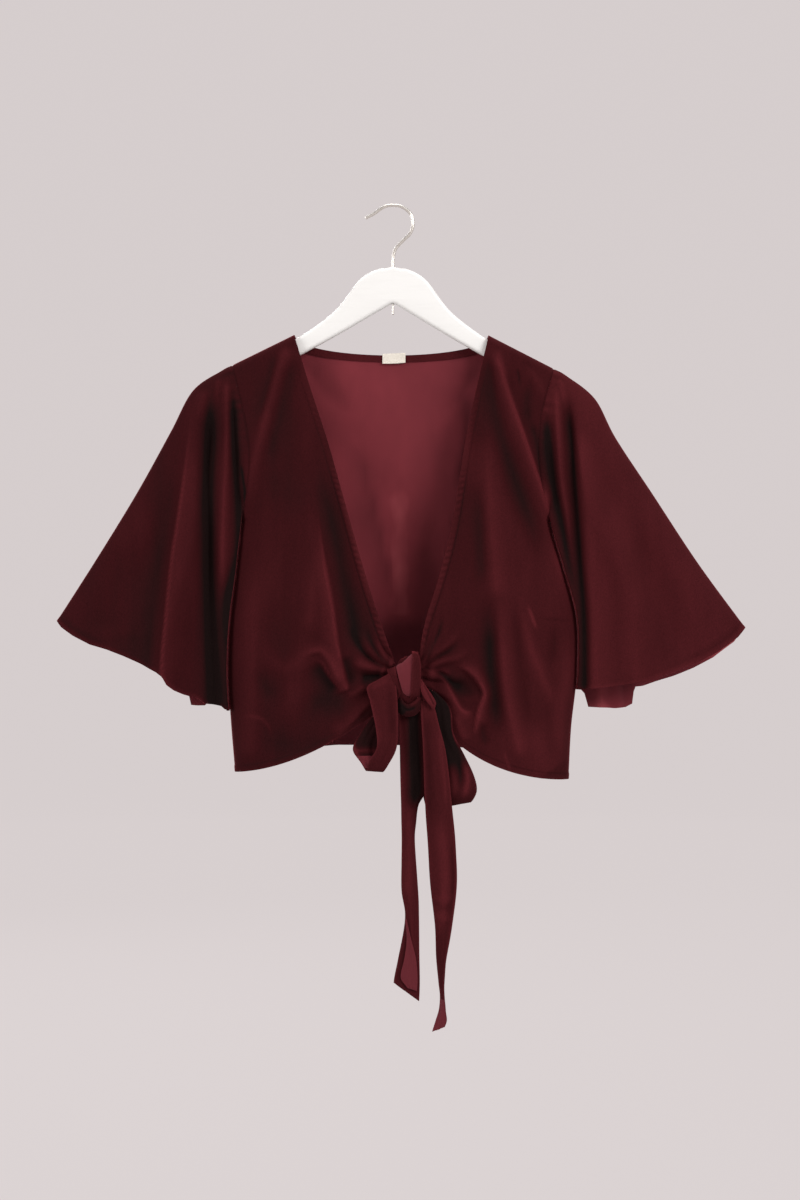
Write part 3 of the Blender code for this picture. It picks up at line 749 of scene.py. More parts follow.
@dataclass(frozen=True)
class RolledEdge:
    """The turned and rolled free edge of a front, puckered along its stitching."""

    width: float = 6.5
    height: float = 0.8
    square: float = 4.0
    wander: tuple[Wave, Wave] = (Wave(1.6, 23.0), Wave(0.9, 9.7, 1.0))
    pucker_step: float = 7.5
    pucker_height: float = 0.5
    pucker_slant: float = 0.8
    pucker_change: Wave = Wave(0.4, 13.0)
    pucker_shade: float = 0.9
    start: Rise = Rise(0.0, 1.5)
    full: Rise = Rise(2.2, 1.2)
    full_share: float = 0.55
    end: Rise = Rise(6.2, 0.8)
    end_share: float = 0.6
    ditch_at: float = 0.6
    ditch_reach: float = 1.1
    ditch_depth: float = 0.7
    # painted light on the roll, painted shade in the ditch and a painted highlight on the rim
    painted_tones: tuple[float, float, float] = (0.14, 0.20, 0.20)
    rim: float = 1.2

    def shape(self, points: Array, places: Array) -> tuple[Array, Array]:
        """The roll over a front.

        Args:
            points: the points of the front.
            places: where its rows stand among the courses.

        Returns:
            The lift, and the nap with its painted light and shade, at each point.
        """
        inward = run_across(points)
        down = run_down(points[:, :1])
        turn = down + sum(wave.at(down) for wave in self.wander) + self.pucker_slant * inward
        pucker = np.sin(2 * math.pi * turn / self.pucker_step)
        pucker *= 1 - self.pucker_change.height + self.pucker_change.at(down)
        strength = self.start.at(places) * (1 - self.full_share * (1 - self.full.at(places)))
        strength = (strength * (1 - self.end_share * self.end.at(places)))[:, None]
        roll = bell(inward - self.width / 2, self.width / 2, self.square)
        ditch = bell(inward - self.width - self.ditch_at, self.ditch_reach)
        lift = roll * (self.height + self.pucker_height * pucker) - self.ditch_depth * ditch
        # painted light on the roll and its puckers' crests, painted shade in the stitching ditch, painted
        # highlight along the rim
        roll_highlight, stitch_ditch_shade, edge_rim_highlight = self.painted_tones
        nap_and_shade = roll_highlight * roll * (1 + self.pucker_shade * pucker) - stitch_ditch_shade * ditch
        nap_and_shade += edge_rim_highlight * bell(inward, self.rim)
        return strength * lift, strength * nap_and_shade


@dataclass(frozen=True)
class Gathers:
    """Ripples that run out of the knot and die away: broad ones that wander, and fine ones."""

    x: float = 15.5
    z: float = -520.0
    height: float = 2.0
    broad: int = 15
    bends: int = 3
    bend: float = 0.6
    fine: int = 29
    fine_share: float = 0.4
    fine_start: float = 1.0
    near: Rise = Rise(12.0, 16.0)
    far: Rise = Rise(26.0, 50.0)

    def lift(self, x: Array, z: Array) -> Array:
        """The ripples' height at each place."""
        away = np.hypot(x - self.x, z - self.z)
        turn = np.arctan2(z - self.z, x - self.x)
        ripple = np.cos(self.broad * turn + self.bend * np.sin(self.bends * turn))
        ripple = ripple + self.fine_share * np.cos(self.fine * turn + self.fine_start)
        return self.height * ripple * self.near.at(away) * (1 - self.far.at(away))


@dataclass
class BodyCut:
    """The cut of the body panels: where each point of the fronts and the back lies."""

    neck_half: float = 107.6
    shoulder_half: float = 178.0
    neck_z: float = -143.0
    shoulder_slope: float = 0.502
    tilt: float = 0.011
    arch: float = 10.2
    arch_fall: float = 8.0
    neck_dip: float = 21.0
    neck_stand: float = 3.5
    neck_fade: float = 2.0
    ramp_fall: float = 30.0
    underarm: float = 3.0
    hem: float = 8.0
    armhole_flat: float = 1.2
    side_round: float = 2.6
    hem_fade: float = 4.0
    edge_columns: tuple[float, ...] = (0.0, 0.7, 1.6, 2.7, 4.0, 5.3, 6.4, 7.2, 8.0, 9.2, 11.0)
    open_columns: int = 104
    back_columns: int = 42
    neck_columns: int = 30
    neck_shift: float = -1.8
    painted_side_light: float = 0.45
    side_reach: float = 9.0
    side_fade: float = 0.4
    side_ease: float = 0.45
    armhole_rows: int = 130
    side_rows: int = 172
    even_share: float = 0.3
    close_soften: float = 2.5
    edge: RolledEdge = RolledEdge()
    gathers: Gathers = Gathers()

    def __post_init__(self) -> None:
        """Lay out the tables that the sizes give."""
        line = []
        necks = (self.neck_shift - self.neck_half, self.neck_shift + self.neck_half)
        for x in (-self.shoulder_half, *necks, self.shoulder_half):
            line += [x, float(self.shoulder_line(x))]
        self.courses = (
            Course(*line, self.neck_half, self.neck_z, 0.0, 0.0),
            Course(-164.0, -235.0, -91.0, -203.0, 92.0, -203.0, 163.5, -235.0, 96.0, -200.0, 6.0, 5.0),
            Course(-158.5, -285.0, -73.0, -258.0, 80.0, -260.0, 161.0, -287.0, 84.0, -255.0, 13.0, 11.0),
            Course(-166.5, -350.0, -58.0, -310.0, 72.0, -312.0, 173.0, -350.0, 74.0, -311.0, 20.0, 17.0),
            Course(-173.0, -408.0, -43.0, -364.0, 63.0, -363.0, 189.0, -405.0, 68.0, -368.0, 26.0, 22.0),
            Course(-180.0, -463.0, -28.0, -416.0, 50.0, -413.0, 202.5, -457.0, 64.0, -425.0, 31.0, 26.0),
            Course(-182.0, -518.0, -12.0, -466.0, 35.0, -462.0, 203.0, -520.0, 62.0, -483.0, 35.0, 29.0),
            Course(-179.0, -572.0, 1.4, -507.0, 29.4, -500.0, 197.0, -577.0, 62.0, -541.0, 38.0, 31.0),
            Course(-174.5, -626.0, 0.6, -545.0, 32.0, -532.0, 194.0, -634.0, 62.0, -600.0, 40.0, 32.0),
        )
        self.hems = {
            (Layer.FRONT, Side.LEFT): Hem(16.0, 0.52),
            (Layer.FRONT, Side.RIGHT): Hem(38.0, 0.35),
            (Layer.BACK, Side.LEFT): Hem(-5.0, 0.5),
            (Layer.BACK, Side.RIGHT): Hem(-6.0, 0.5),
        }
        self.creases = {Layer.FRONT: FRONT_CREASES, Layer.BACK: BACK_CREASES}

    def shoulder_line(self, x: Array | float) -> Array | float:
        """Height of the line over both shoulders, carried on across the neck."""
        return self.neck_z - self.shoulder_slope * (np.abs(x) - self.neck_half) - self.tilt * x

    def armhole_shares(self) -> Array:
        """How far down the armhole its rows stand, closer together at both ends."""
        even = np.linspace(0.0, 1.0, self.armhole_rows + 1)
        return self.even_share * even + (1 - self.even_share) * (1 - np.cos(math.pi * even)) / 2

    def places(self) -> Array:
        """Where the rows of the body panels stand among the courses."""
        side = np.linspace(self.underarm, self.hem, self.side_rows + 1)[1:]
        return np.concatenate([self.underarm * self.armhole_shares(), side])

    def shares(self, widths: Array, columns: int) -> Array:
        """Where the columns stand between the free edge and the side, closest in the edge's band.

        Args:
            widths: how wide the panel is at each row.
            columns: how many columns there are past the band.

        Returns:
            A row of shares for each width.
        """
        band = np.array(self.edge_columns)[None, :] / widths[:, None]
        turns = np.linspace(0.0, 1.0, columns + 1)[1:]
        rest = (1 - self.side_ease) * turns + self.side_ease * np.sin(math.pi / 2 * turns)
        start = band[:, -1:]
        return np.concatenate([band, start + (1 - start) * rest[None, :]], axis=1)

    def stand_out(self, layer: Layer, places: Array, x: Array, z: Array, stand: Array | float = 0.0) -> Array:
        """Give places of the front view their depth.

        Args:
            layer: the front or the back.
            places: where each point stands among the courses.
            x: places in the front view, across.
            z: places in the front view, up.
            stand: how much further out they are.

        Returns:
            The points.
        """
        course = smooth_rows(self.courses, places)
        fall = self.shoulder_line(x) - z
        close = np.clip((places - self.armhole_flat) / (self.underarm - self.armhole_flat), 0.0, 1.0)
        close = np.sqrt(1 - close**2)
        middle = (course[..., 0] + course[..., 6]) / 2
        half = (course[..., 6] - course[..., 0]) / 2
        share = np.minimum(np.abs(x - middle) / half, 1.0)
        softer = self.side_round * (1 + self.close_soften * (1 - share**2))
        share = share**self.side_round
        spread = (1 - share + share * close**softer) ** (1 / self.side_round)
        bend = np.clip(fall / self.arch_fall, 0.0, 1.0)
        depth = self.arch * np.sqrt(1 - (1 - bend) ** 2) + stand
        depth = depth + (course[..., 10] if layer == Layer.FRONT else course[..., 11])
        lift, nap_and_shade, inside = relief(self.creases[layer], x, z)
        lift = lift * np.clip(fall / self.ramp_fall, 0.0, 1.0)
        if layer == Layer.FRONT:
            lift = lift + self.gathers.lift(x, z)
        return np.stack([x, layer.value * (depth + lift) * spread, z, nap_and_shade, inside], axis=-1)

    def hem_sag(self, layer: Layer, side: Side, places: Array, shares: Array) -> Array:
        """How far points hang below the straight line of their course.

        Returns:
            The sag at each point.
        """
        hem = self.hems[layer, side]
        warp = shares ** (math.log(0.5) / math.log(hem.lowest))
        return hem.sag * 4 * warp * (1 - warp) * (places / self.hem) ** self.hem_fade

    def front(self, side: Side) -> Array:
        """The points of a front, from its free edge to its side.

        Args:
            side: the left or the right front.

        Returns:
            The points, as rows of columns.
        """
        places = self.places()
        course = smooth_rows(self.courses, places)
        edge, seam = (2, 0) if side == Side.LEFT else (4, 6)
        run_x, run_z = course[:, seam] - course[:, edge], course[:, seam + 1] - course[:, edge + 1]
        shares = self.shares(np.abs(run_x), self.open_columns)
        grid = np.repeat(places[:, None], shares.shape[1], axis=1)
        x = course[:, edge, None] + run_x[:, None] * shares
        z = course[:, edge + 1, None] + run_z[:, None] * shares
        z -= self.hem_sag(Layer.FRONT, side, grid, shares)
        points = self.stand_out(Layer.FRONT, grid, x, z)
        lift, nap_and_shade = self.edge.shape(points, places)
        # painted light along the body's side below the underarm, where the sleeve shades it
        from_side = (run_across(points)[:, -1:] - run_across(points)) / self.side_reach
        beside = ease((places - self.underarm) / self.side_fade)[:, None] * bell(from_side, 1.0)
        points[..., 1] += Layer.FRONT.value * lift
        points[..., 3] += nap_and_shade + self.painted_side_light * beside
        return points

    def back(self) -> Array:
        """The points of the back, from the left side over the neck to the right side.

        Returns:
            The points, as rows of columns.
        """
        places = self.places()
        course = smooth_rows(self.courses, places)
        shift = self.neck_shift * np.maximum(1 - places, 0.0)
        wings = {}
        for side, seam in ((Side.LEFT, 0), (Side.RIGHT, 6)):
            guide_x = side.value * course[:, 8] + shift
            guide_z = course[:, 9] - self.tilt * guide_x - side.value * self.shoulder_slope * shift
            shares = self.shares(np.abs(course[:, seam] - guide_x), self.back_columns)
            grid = np.repeat(places[:, None], shares.shape[1], axis=1)
            x = guide_x[:, None] + (course[:, seam] - guide_x)[:, None] * shares
            z = guide_z[:, None] + (course[:, seam + 1] - guide_z)[:, None] * shares
            z = z - self.hem_sag(Layer.BACK, side, grid, shares)
            wings[side] = self.stand_out(Layer.BACK, grid, x, z)
        turns = math.pi * np.arange(1, self.neck_columns) / self.neck_columns
        grid = np.repeat(places[:, None], len(turns), axis=1)
        fade = np.maximum(1 - grid / self.neck_fade, 0.0) ** 2
        across = -np.cos(turns)[None, :]
        x = course[:, 8, None] * across + shift[:, None]
        dip = np.sin(turns)[None, :] * fade
        z = course[:, 9, None] - self.tilt * x - self.neck_dip * dip
        z -= self.shoulder_slope * shift[:, None] * across
        stand = self.neck_stand * np.sqrt(np.sin(turns))[None, :] * fade
        middle = self.stand_out(Layer.BACK, grid, x, z, stand)
        return np.concatenate([wings[Side.LEFT][:, ::-1], middle, wings[Side.RIGHT]], axis=1)


class Ring(NamedTuple):
    """One ring down a sleeve: its ridge and its underarm in the front view, and how deep it is."""

    ridge_x: float
    ridge_z: float
    under_x: float
    under_z: float
    depth: float


class Lap(NamedTuple):
    """How far the inner fold of a sleeve leans towards the body's side, and how far it stands out."""

    sideways: float
    outwards: float


class Flute(NamedTuple):
    """A flute of a sleeve: its places from the ridge to the underarm at the top and the hem, and its size."""

    at_top: float
    at_hem: float
    reach: float
    height: float


@dataclass(frozen=True)
class HeadPleats:
    """The small gathers where the head of a sleeve is eased into the armhole."""

    step: float = 10.5
    length: float = 9.0
    height: float = 0.5
    # painted light on the gathers' crests and painted shade between them
    tone: float = 0.14
    wander: Wave = Wave(1.5, 13.0)
    lean: float = 2.0
    lean_down: float = 31.0
    lean_along: float = 40.0
    change: Wave = Wave(0.45, 7.1, 0.6)
    start: Rise = Rise(0.0, 2.0)
    end: Rise = Rise(0.35, 0.25)

    def shape(self, points: Array, across: Array) -> tuple[Array, Array]:
        """The gathers over one layer.

        Args:
            points: the points of the layer.
            across: how far down the armhole its columns start.

        Returns:
            The lift, and the nap's painted light and shade, at each point.
        """
        down, along = run_down(points), run_across(points[:1])
        lean = self.lean * np.sin(down / self.lean_down + along / self.lean_along)
        turn = along + self.wander.at(along) + lean
        wave = np.sin(2 * math.pi * turn / self.step) * (1 - self.change.height + self.change.at(along))
        fade = self.start.at(down) * np.exp(-down / self.length) * (1 - self.end.at(across))
        return self.height * wave * fade, self.tone * wave * fade


@dataclass
class SleeveCut:
    """The cut of one flutter sleeve: where each of its points lies.

    Its drops say how far its hem hangs below a straight line from its tip at 0 to its underarm corner at 1.
    """

    side: Side
    body: BodyCut
    rings: tuple[Ring, ...]
    drops: dict[Layer, tuple[tuple[float, float], ...]]
    laps: dict[Layer, Lap]
    flutes: dict[Layer, tuple[Flute, ...]]
    creases: dict[Layer, tuple[Crease, ...]]
    rows: int = 84
    hem: float = 6.0
    armhole_blend: float = 1.6
    round_power: float = 0.4
    lap_at: float = 0.90
    lap_reach: float = 0.07
    lap_full: float = 3.0
    lap_end: float = 0.012
    row_spacing: float = 1.15
    hang_power: float = 3.0
    fold_fade: float = 0.8
    side_room: float = 2.1
    room_fade: float = 0.5
    pleats: HeadPleats = HeadPleats()

    def layer_points(self, layer: Layer, armhole: Array) -> Array:
        """The points of one layer, from the ridge to the underarm.

        Args:
            layer: the front or the back layer.
            armhole: the points of the body's armhole that it starts from.

        Returns:
            The points, as rows of columns.
        """
        across = self.body.armhole_shares()[None, :]
        places = np.linspace(0.0, 1.0, self.rows + 1) ** self.row_spacing * self.hem
        hang = (places / self.hem)[:, None]
        plain = self.plain(layer, places, across)
        top = self.plain(layer, np.zeros(1), across)
        blend = np.maximum(1 - places / self.armhole_blend, 0.0)[:, None, None] ** 2
        points = plain + (armhole[None, :, :] - top) * blend
        lap = self.laps[layer]
        fold = bell(across - self.lap_at, self.lap_reach) * np.minimum(places / self.lap_full, 1.0)[:, None]
        fold *= np.clip((1 - across) / self.lap_end, 0.0, 1.0)
        points[..., 0] -= self.side.value * lap.sideways * fold
        sag = np.interp(across, *np.array(self.drops[layer]).T) * hang**self.hang_power
        self.keep_clear(points, sag, places)
        lift = lap.outwards * fold
        middle = np.sqrt(np.sin(math.pi * across))
        for flute in self.flutes[layer]:
            centre = flute.at_top + (flute.at_hem - flute.at_top) * hang
            lift += flute.height * bell(across - centre, flute.reach) * middle * hang
        folds, nap_and_shade, inside = relief(self.creases[layer], points[..., 0], points[..., 2])
        pleats, pleat_shade = self.pleats.shape(points, across)
        lift += folds * middle * ease(places[:, None] / self.fold_fade) + pleats
        points[..., 3] += nap_and_shade + pleat_shade
        points[..., 4] += inside
        points[..., 1] += layer.value * lift
        points[..., 2] -= sag
        return points

    def keep_clear(self, points: Array, sag: Array, places: Array) -> None:
        """Hold a layer just outside the side of the body, which it rests against.

        Args:
            points: the points of the layer.
            sag: how much lower each point will hang.
            places: where the rows stand among the rings.
        """
        line = smooth_rows(self.body.courses, self.body.places())
        seam = 0 if self.side == Side.LEFT else 6
        edge = np.interp(sag - points[..., 2], -line[:, seam + 1], self.side.value * line[:, seam])
        nearest = edge + self.side_room * ease(places / self.room_fade)[:, None]
        points[..., 0] = self.side.value * np.maximum(self.side.value * points[..., 0], nearest)

    def plain(self, layer: Layer, places: Array, across: Array) -> Array:
        """The sleeve's plain cone, before any fold.

        Returns:
            The points, as rows of columns.
        """
        ring = smooth_rows(self.rings, places)[:, None, :]
        x = ring[..., 0] + (ring[..., 2] - ring[..., 0]) * across
        z = ring[..., 1] + (ring[..., 3] - ring[..., 1]) * across
        y = layer.value * ring[..., 4] * (4 * across * (1 - across)) ** self.round_power
        return np.stack([x, y, z, np.zeros(x.shape), np.zeros(x.shape)], axis=-1)

    def points(self, front_armhole: Array, back_armhole: Array) -> Array:
        """All the points, round from the front's underarm over the ridge to the back's underarm.

        Args:
            front_armhole: the front's armhole, from the shoulder to the underarm.
            back_armhole: the back's armhole, from the shoulder to the underarm.

        Returns:
            The points, as rows of columns.
        """
        front = self.layer_points(Layer.FRONT, front_armhole)
        back = self.layer_points(Layer.BACK, back_armhole)
        return np.concatenate([front[:, :0:-1], back], axis=1)


# Crease rows: its line from top to bottom, its reach to the left and to the right, its height,
# how soon it fades in and out, and its nap, the light and shade painted into the pile along it

FRONT_CREASES = (
    # Left front: the light streak from the neck corner to the underarm, and the shade under it
    Crease(((-116, -152), (-130, -197), (-142, -241), (-155, -297), (-159, -341)),
            7, 8, 4.0, 0.08, 0.3, 0.26),
    Crease(((-129, -160), (-139, -203), (-151, -250)), 5, 5, -1.5, 0.2, 0.4, -0.20),
    Crease(((-110, -164), (-120, -219), (-133, -266), (-140, -295)), 8, 8, -2.0, 0.15, 0.4, -0.18),
    Crease(((-96, -185), (-92, -260), (-84, -340)), 12, 10, 1.5, 0.4, 0.5, 0.06),
    # its crisp crest, the dark valley beside the edge, and the low ridge between
    Crease(((-85, -328), (-77, -391), (-68, -440), (-62, -483), (-55, -518), (-49, -538)),
            11, 2.6, 4.5, 0.3, 0.06, 0.34),
    Crease(((-84, -330), (-76, -391), (-67, -440), (-61, -483), (-54, -518), (-49, -537)),
            1.3, 1.0, 0.6, 0.3, 0.1, 0.36),
    Crease(((-84, -280), (-69, -341), (-56, -405), (-41, -468), (-28, -496)), 10, 12, -6.0, 0.3, 0.25, -0.36),
    Crease(((-66, -270), (-52, -330), (-36, -390), (-20, -450)), 6, 7, 2.0, 0.3, 0.3, 0.10),
    Crease(((-85, -501), (-77, -505), (-69, -518), (-60, -530), (-52, -538)), 1.0, 1.3, 0.5, 0.3, 0.3, 0.24),
    # the fold that arches over beside the crest, and the shadow under it
    Crease(((-106, -505), (-90, -494), (-79, -493), (-70, -502), (-62, -518), (-52, -534)),
            3, 5, 5.0, 0.3, 0.2, 0.26),
    Crease(((-85, -501), (-76, -516), (-66, -528), (-56, -537)), 12, 3, -5.0, 0.25, 0.3, -0.38),
    Crease(((-96, -540), (-74, -548), (-46, -545)), 16, 14, -2.5, 0.4, 0.3, -0.24),
    Crease(((-56, -496), (-50, -512), (-46, -532)), 5, 8, -3.5, 0.3, 0.25, -0.26),
    Crease(((-51, -538), (-43, -538), (-35, -533), (-29, -528)), 7, 2.5, 2.5, 0.2, 0.3, 0.16),
    # folds that run out of the knot
    Crease(((-47, -503), (-33, -508), (-20, -511), (-7, -513)), 4, 7, 4.0, 0.3, 0.1, 0.30),
    Crease(((-37, -521), (-25, -520), (-11, -516)), 8, 5, -3.5, 0.3, 0.15, -0.42),
    Crease(((-48, -462), (-37, -486), (-22, -503), (-7, -511)), 3.5, 2.5, -3.5, 0.3, 0.1, -0.36),
    Crease(((-39, -460), (-28, -486), (-15, -501), (-4, -508)), 2.5, 2.5, 2.0, 0.4, 0.1, 0.14),
    Crease(((-30, -462), (-23, -484), (-13, -500), (-3, -507)), 2.5, 3, -3.0, 0.4, 0.1, -0.30),
    Crease(((-22, -462), (-14, -488), (-6, -502), (1, -508)), 3, 3.5, 2.0, 0.4, 0.1, 0.22),
    Crease(((-66, -588), (-47, -571), (-31, -554), (-20, -543)), 3, 10, 3.0, 0.2, 0.3, 0.24),
    # broad lights and shades down to the hem
    Crease(((-150, -465), (-136, -498), (-120, -512), (-106, -508), (-95, -496), (-92, -470)),
            10, 10, 2.5, 0.3, 0.3, 0.16),
    Crease(((-88, -380), (-90, -440), (-93, -480)), 8, 7, 2.0, 0.4, 0.3, 0.16),
    Crease(((-110, -511), (-113, -538), (-120, -561), (-128, -590)), 14, 16, 2.5, 0.3, 0.4, 0.16),
    Crease(((-154, -510), (-139, -533), (-129, -548)), 8, 8, -2.0, 0.4, 0.4, -0.14),
    Crease(((-168, -563), (-154, -564), (-142, -568), (-135, -577), (-132, -588)), 2, 2, 0.8, 0.3, 0.4, 0.20),
    Crease(((-152, -380), (-156, -500), (-158, -620)), 14, 14, 3.0, 0.35, 0.1, 0.20),
    Crease(((-150, -590), (-100, -596), (-60, -585)), 16, 10, -1.0, 0.3, 0.3, -0.10),
    Crease(((-128, -300), (-130, -400), (-128, -480)), 26, 24, 2.0, 0.3, 0.4, 0.12),
    # Right front: the crest from the neck corner down the armhole, and the shade along it
    Crease(((112, -157), (125, -203), (139, -244), (155, -291), (168, -330), (179, -362), (184, -390),
            (193, -418), (201, -450)), 8, 2.6, 7.0, 0.06, 0.2, 0.42),
    Crease(((126, -204), (140, -245), (156, -292), (169, -331), (180, -363), (185, -391), (194, -419),
            (202, -451)), 1.3, 1.1, 0.5, 0.2, 0.2, 0.36),
    Crease(((152, -238), (158, -262), (163, -290), (170, -318)), 4, 5, -2.0, 0.2, 0.3, -0.26),
    Crease(((137, -178), (139, -190), (141, -203)), 2, 2, -1.0, 0.3, 0.4, -0.20),
    Crease(((152, -190), (147, -222), (152, -250)), 6, 6, -2.0, 0.4, 0.4, -0.18),
    Crease(((144, -176), (160, -196), (168, -222)), 5, 4, 1.5, 0.3, 0.4, 0.12),
    Crease(((104, -160), (114, -235), (130, -291), (150, -348), (164, -405)), 10, 9, -3.0, 0.08, 0.35, -0.34),
    Crease(((115, -158), (121, -176), (127, -196)), 2, 2.5, 1.0, 0.2, 0.4, 0.16),
    Crease(((98, -178), (94, -230), (90, -285)), 10, 10, -2.0, 0.3, 0.4, -0.20),
    Crease(((74, -280), (66, -340), (54, -400)), 10, 12, -1.5, 0.3, 0.4, -0.12),
    Crease(((104, -240), (106, -320), (112, -400), (113, -440)), 6, 10, 2.5, 0.3, 0.2, 0.22),
    Crease(((92, -300), (96, -370), (99, -430)), 9, 6, -2.5, 0.3, 0.3, -0.22),
    # the dark valley beside the pouch, and the lit ridges right of it
    Crease(((104, -410), (106, -468), (107, -500), (109, -530), (113, -562), (121, -592)),
            11, 10, -6.0, 0.3, 0.3, -0.46),
    Crease(((116, -420), (119, -490), (125, -545), (134, -585), (141, -615)), 6, 8, 4.5, 0.3, 0.15, 0.30),
    Crease(((130, -420), (138, -480), (144, -540), (150, -590)), 7, 7, -2.5, 0.3, 0.3, -0.12),
    Crease(((134, -420), (149, -483), (161, -514), (171, -538), (178, -556)), 6, 6, 2.5, 0.3, 0.3, 0.24),
    Crease(((147, -440), (153, -456), (158, -470)), 1.8, 1.5, 1.5, 0.4, 0.3, 0.50),
    Crease(((177, -450), (176, -490), (172, -515)), 6, 6, -2.0, 0.4, 0.4, -0.14),
    Crease(((193, -470), (192, -520), (184, -560), (186, -620)), 8, 7, 2.0, 0.3, 0.2, 0.22),
    Crease(((158, -457), (178, -458), (199, -459)), 1.5, 1.5, -0.5, 0.3, 0.3, -0.10),
    Crease(((121, -600), (124, -612), (128, -622)), 1.5, 1.5, 0.8, 0.3, 0.1, 0.20),
    Crease(((150, -560), (160, -600), (176, -625)), 20, 16, 1.0, 0.4, 0.1, 0.20),
    # the pouch over the knot: its rim, its hollow, and the roll that comes up under it
    Crease(((66, -508), (80, -512), (91, -521), (98, -532), (100, -540), (97, -549), (93, -562),
            (88, -586)), 2.6, 7, 7.0, 0.25, 0.12, 0.42),
    Crease(((92, -522), (98, -532), (100, -540), (97, -549), (93, -562), (88, -586)),
            1.0, 1.3, 0.5, 0.2, 0.1, 0.40),
    Crease(((38, -511), (52, -513), (65, -517)), 2, 3, 2.5, 0.2, 0.2, 0.24),
    Crease(((48, -517), (58, -527), (65, -540), (72, -553), (80, -559), (88, -557)),
            1.3, 1.0, 0.5, 0.3, 0.2, 0.26),
    Crease(((42, -512), (55, -520), (68, -529), (78, -542)), 11, 5, -4.0, 0.25, 0.4, -0.40),
    Crease(((66, -524), (78, -532), (82, -546)), 9, 9, -5.0, 0.3, 0.3, -0.26),
    Crease(((33, -513), (48, -518), (58, -528), (65, -541), (72, -554), (80, -560), (89, -558)),
            9, 3, 6.0, 0.1, 0.2, 0.36),
    Crease(((66, -560), (72, -575), (80, -592)), 4, 8, 2.0, 0.3, 0.2, 0.20),
    Crease(((96, -566), (98, -582), (103, -598)), 4, 6, -2.5, 0.3, 0.3, -0.22),
    # folds that fan out of the knot above the pouch
    Crease(((31, -507), (40, -492), (46, -476), (52, -456)), 3, 2, 2.5, 0.2, 0.4, 0.26),
    Crease(((34, -506), (43, -488), (50, -472), (57, -452)), 2, 3.5, -3.0, 0.2, 0.4, -0.44),
    Crease(((33, -508), (46, -500), (60, -492), (74, -480)), 2.5, 3, -2.5, 0.2, 0.4, -0.30),
    Crease(((34, -506), (50, -494), (66, -480), (76, -462)), 3, 4, 2.5, 0.2, 0.4, 0.16),
    Crease(((33, -509), (50, -504), (70, -500), (88, -488)), 3, 4, 2.5, 0.2, 0.4, 0.18),
    Crease(((33, -511), (44, -511), (56, -509)), 1.5, 1.5, -1.5, 0.2, 0.4, -0.24),
    # painted light: the whole right front is lighter, as more light falls on it
    Crease(((110, -200), (130, -420), (140, -640)), 90, 90, 0.0, 0.0, 0.0, 0.12),
)

BACK_CREASES = (
    Crease(((-95, -230), (-104, -440), (-110, -640)), 22, 22, 8.0, 0.3, 0.1, 0.16),
    Crease(((-72, -250), (-62, -330), (-56, -440), (-50, -530)), 20, 20, -7.0, 0.3, 0.1, -0.20),
    Crease(((0, -230), (2, -430), (4, -640)), 26, 26, 6.0, 0.3, 0.1, 0.14),
    Crease(((58, -300), (62, -470), (66, -640)), 20, 20, -7.0, 0.3, 0.1, -0.20),
    Crease(((98, -230), (108, -440), (116, -640)), 22, 22, 8.0, 0.3, 0.1, 0.16),
    Crease(((-150, -300), (-120, -340), (-84, -400)), 7, 12, 4.0, 0.2, 0.5, 0.24),
    Crease(((-146, -316), (-116, -358), (-84, -410)), 6, 6, -3.0, 0.2, 0.5, -0.20),
    Crease(((154, -304), (126, -346), (92, -410)), 12, 7, 4.0, 0.2, 0.5, 0.24),
    Crease(((150, -320), (122, -362), (92, -420)), 6, 6, -3.0, 0.2, 0.5, -0.20),
    Crease(((-104, -165), (-70, -210), (-40, -230)), 9, 14, 2.5, 0.2, 0.5, 0.12),
    Crease(((104, -168), (72, -212), (44, -232)), 14, 9, 2.5, 0.2, 0.5, 0.12),
    Crease(((-140, -420), (-146, -520), (-150, -620)), 10, 14, 4.0, 0.3, 0.1, 0.18),
    Crease(((150, -430), (158, -520), (160, -620)), 14, 10, 4.0, 0.3, 0.1, 0.18),
    Crease(((-30, -400), (-34, -500), (-30, -620)), 12, 7, 3.0, 0.4, 0.1, 0.10),
    Crease(((36, -420), (32, -520), (34, -620)), 7, 12, 3.0, 0.4, 0.1, 0.10),
    # what the open front shows of the inside: a crisp fold on the left with painted shade beside it, painted
    # shade on the right, by the knot and low on the left under the front's hem, and painted light down the
    # middle
    Crease(((-40, -255), (-29, -300), (-17.5, -346), (-8, -395), (0, -440)),
            24, 2.5, 2.5, 0.25, 0.2, 0.10, inside=0.42),
    Crease(((8, -250), (8, -330), (6, -400), (8, -470)), 30, 30, -1.0, 0.4, 0.1, inside=-0.80),
    Crease(((56, -310), (42, -370), (32, -415), (26, -470)), 9, 26, 2.0, 0.3, 0.0, 0.05, inside=0.30),
    Crease(((80, -200), (84, -260), (70, -320)), 5, 14, 2.0, 0.2, 0.3, 0.08, inside=0.55),
    Crease(((-22, -488), (16, -484), (44, -490)), 16, 12, 2.0, 0.0, 0.0, inside=0.42),
    Crease(((-90, -590), (-60, -585), (-30, -580)), 20, 20, 1.0, 0.0, 0.0, inside=0.9),
)


